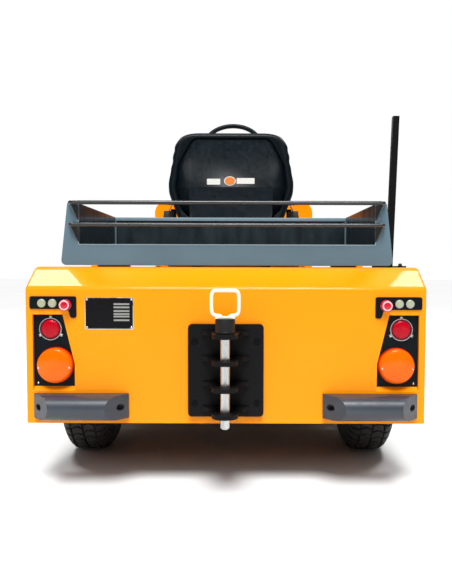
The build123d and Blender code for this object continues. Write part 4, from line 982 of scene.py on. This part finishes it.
class AddSeatPads(bpy.types.Operator):
    """The seat's cushion and back pad, swollen by cloth pressure and sewn in channels"""

    bl_idname = "tug.add_seat_pads"
    bl_label = "Seat cushion and back pad"

    def execute(self, context):
        up = Vector((0, 0, 1))
        middle = mid("seat_cushion")
        cushion = stuffed(
            "cushion_cover", "seat_cushion", (0.985, 0.985, 0.93), 0.010, "seat_vinyl", "seat_vinyl",
            [(X, spot, 0.006, 0.007, up) for spot in (-0.155, -0.052, 0.052, 0.155)]
            + [(Y, middle.y + 0.13, 0.006, 0.006, up)],
        )
        front = Vector((0, 1, -0.12)).normalized()
        back = stuffed(
            "back_cover", "seat_back_pad", (0.985, 0.93, 0.985), 0.010, "seat_vinyl", "seat_vinyl",
            [(X, spot, 0.006, 0.007, front) for spot in (-0.13, -0.045, 0.045, 0.13)],
        )
        return {"FINISHED"}


class AddSeatShellDetails(bpy.types.Operator):
    """Blank labels, a blank badge and screws on the back of the seat, and the belt's ends"""

    bl_idname = "tug.add_seat_shell_details"
    bl_label = "Seat shell details"

    def execute(self, context):
        lean = Vector((0, -1, 0.12)).normalized()
        origin = Vector((0, REAR + 0.790, DECK + 0.115))
        spot = lambda x, rise, out: at(*(origin + X * x + lean.cross(X) * rise + lean * out), axis=lean)
        labels, badge, ring, dark = bmesh.new(), bmesh.new(), bmesh.new(), bmesh.new()
        plate(labels, spot(-0.0727, 0.2370, 0.041), rectangle(0.0277, 0.0125), 0.0008, 0.002)
        plate(labels, spot(0.0608, 0.2405, 0.041), rectangle(0.0372, 0.0122), 0.0008, 0.002)
        for bm, grow, depth in ((ring, 1.0, 0.0010), (badge, 0.86, 0.0016)):
            part = bmesh.new()
            bmesh.ops.create_circle(part, cap_ends=True, segments=48, radius=0.0245 * grow)
            bmesh.ops.scale(part, verts=part.verts, vec=(1, 0.8, 1))
            made = bmesh.ops.extrude_face_region(part, geom=part.faces[:], use_keep_orig=True)
            top = [v for v in made["geom"] if isinstance(v, bmesh.types.BMVert)]
            bmesh.ops.translate(part, verts=top, vec=(0, 0, depth))
            merge(bm, part, spot(-0.0046, 0.2400, 0.041))
        for x, rise, out, radius, lip, hole in (
            (-0.004, 0.388, 0.0405, 0.006, 0.0045, 0.004),
            (-0.0695, 0.175, 0.0435, 0.005, 0.0038, 0.0034),
            (0.0636, 0.175, 0.0435, 0.005, 0.0038, 0.0034),
        ):
            lathe(dark, spot(x, rise, out), [
                (0, 0), (radius, 0), (radius, 0.0012), (lip, 0.0016), (hole, 0.0007), (0, 0.0007),
            ], 24)
        put("seat_labels", labels, "button_plastic", "label_white")
        put("seat_badge_ring", ring, "button_plastic", "label_white")
        put("seat_badge", badge, "amber_lens", "badge_orange")
        put("seat_shell_holes", dark, "black_plastic", "frame_black")
        housing, webbing, buttons = bmesh.new(), bmesh.new(), bmesh.new()
        for side in (-1, 1):
            place = at(side * 0.268, REAR + 0.835, DECK + 0.175)
            block(housing, place, (0.024, 0.055, 0.075), 0.006)
            strap = [(side * 0.268, REAR + 0.815, DECK + 0.19), (side * 0.262, REAR + 0.802, DECK + 0.235),
                     (side * 0.248, REAR + 0.805, DECK + 0.262), (side * 0.236, REAR + 0.86, DECK + 0.272)]
            for first, second in zip(strap, strap[1:]):
                run = Vector(second) - Vector(first)
                middle = (Vector(first) + Vector(second)) / 2
                block(webbing, at(*middle, axis=run), (0.045, 0.0024, run.length + 0.002), 0.0008)
        block(housing, at(0.236, REAR + 0.885, DECK + 0.276, axis=Y), (0.03, 0.018, 0.055), 0.004)
        block(buttons, at(0.236, REAR + 0.9145, DECK + 0.276, axis=Y), (0.022, 0.012, 0.005), 0.0015)
        put("belt_housings", housing, "black_plastic")
        put("belt_webbing", webbing, "seat_vinyl", "webbing")
        put("belt_button", buttons, "button_plastic", "stop_red")
        return {"FINISHED"}


# Tray


class AddTrayTrim(bpy.types.Operator):
    """Folded hems and corner welds of the load tray"""

    bl_idname = "tug.add_tray_trim"
    bl_label = "Tray trim"

    def execute(self, context):
        low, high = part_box("tray")
        inner = 0.4675
        rear, front = low.y + 0.004, high.y - 0.004
        lip = low.z + 0.065
        bm = bmesh.new()
        for side in (-1, 1):
            hem = at(side * (inner + 0.0004), rear - 0.002, (lip + high.z) / 2)
            block(bm, hem, (0.0028, 0.0062, high.z - lip), 0.0009)
            block(bm, at(side * (inner + 0.002), (rear + front) / 2, high.z), (0.0052, front - rear, 0.0022), 0.0008)
            lathe(bm, at(side * (inner - 0.0012), front - 0.0012, low.z + 0.01), [
                (0, 0), (0.0032, 0.001), (0.0032, high.z - low.z - 0.012), (0, high.z - low.z - 0.011),
            ], 12)
        block(bm, at(0, rear - 0.002, lip), (2 * inner, 0.0060, 0.0030), 0.0009)
        block(bm, at(0, front - 0.0025, high.z - 0.0065), (2 * inner - 0.001, 0.005, 0.014), 0.0012)
        # The hems' paler paint is a painted highlight on the sheet edges
        put("tray_hems", bm, "tray_paint", "tray_edge_highlight")
        return {"FINISHED"}


# Cab


class AddInstruments(bpy.types.Operator):
    """Dials, lamps, key and switches on the instrument pod"""

    bl_idname = "tug.add_instruments"
    bl_label = "Instruments"

    def execute(self, context):
        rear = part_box("front_cowl")[0].y
        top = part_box("front_cowl")[1].z
        slope = Vector((0, -1, 1)).normalized()
        centre = Vector((0, rear - 0.015, top + 0.075))
        up = slope.cross(X)
        spot = lambda x, rise, out: at(*(centre + X * x + up * rise + slope * out), axis=slope)
        glass, bezels, faces, needles, keys = (bmesh.new() for _ in range(5))
        plate(glass, spot(0, 0, 0), rectangle(0.125, 0.032), 0.003, 0.008, 0.001)
        for x in (-0.062, 0.062):
            lathe(bezels, spot(x, 0, 0.003), [
                (0.0235, 0), (0.0275, 0), (0.0268, 0.0045), (0.0240, 0.0045),
            ], 48, closed=True)
            lathe(faces, spot(x, 0, 0.003), [(0, 0), (0.0235, 0), (0.0235, 0.001), (0, 0.001)], 48)
            for count in range(9):
                angle = math.radians(-120 + 30 * count)
                mark = spot(x, 0, 0.0042) @ Matrix.Rotation(angle, 4, "Z") @ Matrix.Translation((0, 0.0195, 0))
                block(needles, mark, (0.0012, 0.005, 0.0006))
            hand = spot(x, 0, 0.0047) @ Matrix.Rotation(math.radians(40 if x < 0 else -30), 4, "Z")
            block(needles, hand @ Matrix.Translation((0, 0.008, 0)), (0.0014, 0.018, 0.0008))
            lathe(bezels, spot(x, 0, 0.0045), [(0, 0), (0.0035, 0), (0.003, 0.002), (0, 0.0022)], 16)
        for count, x in enumerate((-0.02, -0.007, 0.007, 0.02)):
            lathe(keys, spot(x, 0.012, 0.003), [(0, 0), (0.0036, 0), (0.0034, 0.001), (0, 0.0014)], 16)
        wall = rear - 0.020
        for x in (-0.2, 0.2):
            lathe(bezels, at(x, wall, top - 0.07, axis=-Y), [
                (0, 0), (0.016, 0), (0.0155, 0.004), (0.0105, 0.005), (0.0105, 0.013), (0, 0.0135),
            ], 32)
        block(bezels, at(0.2, wall - 0.02, top - 0.07), (0.003, 0.022, 0.018), 0.001)
        for x in (-0.06, 0, 0.06):
            block(bezels, at(x, wall - 0.002, top - 0.135), (0.03, 0.006, 0.045), 0.0015)
            block(keys, at(x, wall - 0.006, top - 0.135, axis=(0, -1, 0.15)), (0.022, 0.036, 0.006), 0.0015)
        put("instrument_glass", glass, "black_plastic", "plate_black")
        put("instrument_bezels", bezels, "zinc_steel", "dark_steel")
        put("instrument_faces", faces, "button_plastic", "label_white")
        put("instrument_marks", needles, "red_lens", "stop_red")
        put("instrument_keys", keys, "button_plastic")
        return {"FINISHED"}


class AddDriverControls(bpy.types.Operator):
    """Steering wheel cap, lever knobs, pedal rubbers and the ribbed floor mat"""

    bl_idname = "tug.add_driver_controls"
    bl_label = "Driver's controls and mat"

    def execute(self, context):
        slope = Vector((0, -math.cos(math.radians(38)), math.sin(math.radians(38))))
        hub = Vector((0, REAR + 1.290, 1.276))
        bm = bmesh.new()
        lathe(bm, at(*(hub + slope * 0.002), axis=slope), [
            (0, 0), (0.031, 0), (0.029, 0.004), (0.02, 0.0075), (0, 0.009),
        ], 40)
        put("wheel_cap", bm, "black_plastic", "plate_black", body="steering_wheel")
        bm = bmesh.new()
        root = hub - slope * 0.070
        for side in (-1, 1):
            lathe(bm, at(*(root + X * side * 0.108), axis=X * side), [
                (0, 0), (0.0058, 0), (0.0085, 0.004), (0.0095, 0.014), (0.008, 0.024), (0, 0.0275),
            ], 24)
        put("lever_knobs", bm, "black_plastic", "frame_black")
        mat, rubbers = bmesh.new(), bmesh.new()
        middle_y = REAR + 1.411
        block(mat, at(0, middle_y, FOOT_LEVEL + 0.0015), (1.14, 0.262, 0.003), 0.001)
        for count in range(17):
            block(mat, at(0, middle_y - 0.12 + 0.015 * count, FOOT_LEVEL + 0.0036), (1.12, 0.0062, 0.0026), 0.0009)
        block(mat, at(0, REAR + 1.715, FOOT_LEVEL + 0.0015), (0.50, 0.32, 0.003), 0.001)
        for count in range(20):
            block(mat, at(0, REAR + 1.573 + 0.015 * count, FOOT_LEVEL + 0.0036), (0.48, 0.0062, 0.0026), 0.0009)
        press = Vector((0, -0.8, 0.6))
        for x, width in ((-0.070, 0.090), (0.110, 0.070)):
            origin = Vector((x, REAR + 1.870, FOOT_LEVEL + 0.110)) + press * 0.010
            place = at(*origin, axis=press)
            plate(rubbers, place, rectangle(width / 2, 0.06), 0.004, 0.01, 0.001)
            for count in range(8):
                rib = place @ Matrix.Translation((0, -0.0455 + 0.013 * count, 0.0050))
                block(rubbers, rib, (width - 0.014, 0.006, 0.003), 0.001)
        put("floor_mat", mat, "pad_rubber", "mat_rubber")
        put("pedal_rubbers", rubbers, "pad_rubber", "mat_rubber")
        return {"FINISHED"}


# Front and sides


class AddHeadlamps(bpy.types.Operator):
    """Headlamps: chromed bezel, bright bowl, bulb and ribbed glass"""

    bl_idname = "tug.add_headlamps"
    bl_label = "Headlamps"

    def execute(self, context):
        low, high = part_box("headlamps")
        radius = (high.z - low.z) / 2
        depth = high.y - low.y
        bezels, glass, bulbs = bmesh.new(), bmesh.new(), bmesh.new()
        for side in (-1, 1):
            place = at(side * (high.x - radius), low.y, (low.z + high.z) / 2, axis=Y)
            lathe(bezels, place, [
                (0, 0), (radius, 0), (radius, depth - 0.004), (radius - 0.002, depth), (radius - 0.006, depth),
                (radius - 0.009, depth - 0.005), (radius * 0.55, 0.004), (0, 0.002),
            ], 56)
            lathe(bulbs, place, [(0, 0.002), (0.008, 0.002), (0.008, 0.007), (0.005, 0.0095), (0, 0.0105)], 24)
            lathe(glass, place, [
                (0, depth - 0.0035), (radius - 0.0085, depth - 0.0045), (radius - 0.0078, depth - 0.003),
                (radius * 0.5, depth - 0.0006), (0, depth - 0.0002),
            ], 56)
        bezel_piece = put("headlamp_bezels", bezels, "zinc_steel", "chrome")
        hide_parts("headlamps")
        put("headlamp_bulbs", bulbs, "clear_lens", "label_white")
        put("headlamp_glass", glass, "clear_lens", "headlamp_glass", sharp=60)
        return {"FINISHED"}


class AddBodyTrim(bpy.types.Operator):
    """Rubber lips round the wheel arches, door latches and the screws of the body's seams"""

    bl_idname = "tug.add_body_trim"
    bl_label = "Arch lips, latches and screws"

    def execute(self, context):
        lips = bmesh.new()
        for y, z, radius, low_z in ((REAR + 0.450, 0.2285, 0.2585, 0.197), (REAR + 1.840, 0.2075, 0.275, 0.240)):
            reach = math.asin((z - low_z) / radius)
            for side in (-1, 1):
                part = bmesh.new()
                ring = bmesh.ops.create_circle(part, cap_ends=True, segments=10, radius=0.0042)["verts"]
                bmesh.ops.translate(part, verts=ring, vec=(radius, 0, 0))
                bmesh.ops.rotate(part, verts=ring, cent=(0, 0, 0), matrix=Matrix.Rotation(math.radians(90), 3, "X"))
                bmesh.ops.rotate(part, verts=ring, cent=(0, 0, 0), matrix=Matrix.Rotation(-reach, 3, "Z"))
                bmesh.ops.spin(
                    part, geom=part.verts[:] + part.edges[:] + part.faces[:], cent=(0, 0, 0), axis=Z,
                    dvec=(0, 0, 0), angle=math.pi + 2 * reach, steps=48, use_merge=False, use_duplicate=False,
                )
                turn = Matrix(((0, 0, 1, side * 0.5975), (1, 0, 0, y), (0, 1, 0, z), (0, 0, 0, 1)))
                merge(lips, part, turn)
        put("arch_lips", lips, "pad_rubber", "mat_rubber")
        for name, side in SIDES:
            latch = bmesh.new()
            latch_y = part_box(f"battery_door_{name}")[1].y - 0.06
            lathe(latch, at(side * 0.600, latch_y, 0.40, axis=X * side), [
                (0, 0), (0.014, 0), (0.0135, 0.003), (0.0095, 0.0042), (0.0095, 0.0065), (0, 0.0068),
            ], 32)
            block(latch, at(side * 0.6071, latch_y, 0.40), (0.0012, 0.0022, 0.012))
            put(f"door_latch_{name}", latch, "zinc_steel", body=f"battery_door_{name}")
        screws = bmesh.new()
        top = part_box("seat_console")[1].z
        for x in (-0.52, -0.30, 0.30, 0.52):
            for y in (REAR + 0.775, REAR + 1.245):
                dome_head(screws, at(x, y, top), 0.007, 0.0035)
            dome_head(screws, at(x, REAR + 0.728, top), 0.007, 0.0035)
        put("deck_screws", screws, "zinc_steel", "dark_steel")
        return {"FINISHED"}


class AddSpringClamps(bpy.types.Operator):
    """U bolts that hold the leaf springs to the rear axle"""

    bl_idname = "tug.add_spring_clamps"
    bl_label = "Spring clamps"

    def execute(self, context):
        low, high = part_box("leaf_springs")
        y = (low.y + high.y) / 2
        bm = bmesh.new()
        for side in (-1, 1):
            for offset in (-0.034, 0.034):
                for edge in (-0.028, 0.028):
                    x = side * SPRING_OFFSET + edge
                    lathe(bm, at(x, y + offset, low.z - 0.012), [
                        (0, 0), (0.0045, 0), (0.0045, high.z - low.z + 0.018), (0, high.z - low.z + 0.018),
                    ], 12)
                    hex_head(bm, at(x, y + offset, low.z - 0.006, axis=-Z), 0.013, 0.008)
        put("spring_clamps", bm, "zinc_steel", "dark_steel")
        return {"FINISHED"}


class BuildStage(bpy.types.Operator):
    """Lay the pale floor, light the studio and set the camera where the photograph was taken"""

    bl_idname = "tug.build_stage"
    bl_label = "Build the stage"

    def execute(self, context):
        s = settings()
        scene = bpy.context.scene
        bm = bmesh.new()
        bmesh.ops.create_grid(bm, x_segments=1, y_segments=1, size=30)
        mesh = bpy.data.meshes.new("floor")
        bm.to_mesh(mesh)
        bm.free()
        floor = bpy.data.objects.new("floor", mesh)
        scene.collection.objects.link(floor)
        tree = Tree("floor_white")
        cloud = tree.spread(tree.noise(0.6, 2), 0, 1)
        mesh.materials.append(
            tree.done(Base_Color=tree.blend(cloud, (0.9, 0.9, 0.9), (0.94, 0.94, 0.94)), Roughness=0.7)
        )
        world = bpy.data.worlds.new("studio")
        world.use_nodes = True
        tree = world.node_tree
        backdrop = tree.nodes["Background"]
        backdrop.inputs["Color"].default_value = (1, 1, 1, 1)
        seen = tree.nodes.new("ShaderNodeLightPath").outputs["Is Camera Ray"]
        level = tree.nodes.new("ShaderNodeMapRange")
        level.inputs["To Min"].default_value = s.surround
        level.inputs["To Max"].default_value = 1.0
        tree.links.new(seen, level.inputs["Value"])
        tree.links.new(level.outputs["Result"], backdrop.inputs["Strength"])
        scene.world = world
        scene.view_settings.view_transform = "Standard"
        sky = bpy.data.lights.new("sky", "SUN")
        sky.energy = s.sky
        sky.angle = math.radians(SKY_SPREAD)
        lamp = bpy.data.objects.new("sky", sky)
        lamp.rotation_euler = Vector((0, -math.sin(SKY_TILT), math.cos(SKY_TILT))).to_track_quat("Z", "Y").to_euler()
        scene.collection.objects.link(lamp)
        for name, place, size, power, aim in (
            ("left_box", (-1.72, 0.2, 3.6), (0.75, 0.9), s.boxes, (-0.6, -1, 0.6)),
            ("right_box", (1.78, 0.2, 3.6), (0.75, 0.9), s.boxes, (0.6, -1, 0.6)),
            ("behind", (0.0, -4.8, 3.4), (5.0, 2.2), s.fill, (0, -1, 0.4)),
            ("ahead", (0.0, 5.2, 3.4), (5.0, 2.2), s.fill, (0, 1, 0.4)),
        ):
            data = bpy.data.lights.new(name, "AREA")
            data.shape = "RECTANGLE"
            data.size, data.size_y = size
            data.energy = power
            lamp = bpy.data.objects.new(name, data)
            lamp.location = place
            lamp.rotation_euler = (Vector(place) - Vector(aim)).to_track_quat("Z", "Y").to_euler()
            scene.collection.objects.link(lamp)
        data = bpy.data.cameras.new("photograph")
        data.lens = CAMERA_LENS
        data.sensor_width = 36
        data.shift_x, data.shift_y = CAMERA_SHIFT
        camera = bpy.data.objects.new("photograph", data)
        camera.location = (CAMERA_X, cad_box[0].y + HITCH_REACH - CAMERA_BACK, CAMERA_HEIGHT)
        camera.rotation_euler = [math.radians(a) for a in (90 - CAMERA_PITCH, CAMERA_ROLL, -CAMERA_YAW)]
        scene.collection.objects.link(camera)
        scene.camera = camera
        return {"FINISHED"}


# The sky light's width in degrees, and how far it leans to the rear
SKY_SPREAD = 24
SKY_TILT = math.radians(30)

# The camera, solved from the photograph: metres from the middle of the rear face, degrees
CAMERA_X = 0.0489
CAMERA_BACK = 1.8789
CAMERA_HEIGHT = 0.6689
CAMERA_YAW = 0.09
CAMERA_PITCH = 2.98
CAMERA_ROLL = -0.16
CAMERA_LENS = 631.0 / 584 * 36
CAMERA_SHIFT = ((226 - 243.5) / 584, (299.4 - 292) / 584)
HITCH_REACH = 0.144

OPERATORS = (
    PaintNodes, AddTyres, AddWheelNuts, AddSignalLamps, AddReflectors, AddButtons, AddNameplate, AddBolts, AddTowPin,
    AddSeatShell, AddSeatPads, AddSeatShellDetails, AddTrayTrim, AddInstruments, AddDriverControls, AddHeadlamps,
    AddBodyTrim, AddSpringClamps, BuildStage,
)


class TugPanel(bpy.types.Panel):
    """The tug's pieces, sizes and colours"""

    bl_idname = "VIEW3D_PT_tug"
    bl_label = "Baggage tug"
    bl_space_type = "VIEW_3D"
    bl_region_type = "UI"
    bl_category = "Tug"

    def draw(self, context):
        for name in TugSettings.__annotations__:
            self.layout.prop(context.scene.tug, name)
        for operator in OPERATORS:
            self.layout.operator(operator.bl_idname)


def register():
    for each in (TugSettings, *OPERATORS, TugPanel):
        bpy.utils.register_class(each)
    bpy.types.Scene.tug = bpy.props.PointerProperty(type=TugSettings)


def unregister():
    del bpy.types.Scene.tug
    for each in (TugPanel, *reversed(OPERATORS), TugSettings):
        bpy.utils.unregister_class(each)


def main():
    register()
    for operator in OPERATORS:
        group, name = operator.bl_idname.split(".")
        getattr(getattr(bpy.ops, group), name)()


if __name__ == "__main__":
    main()
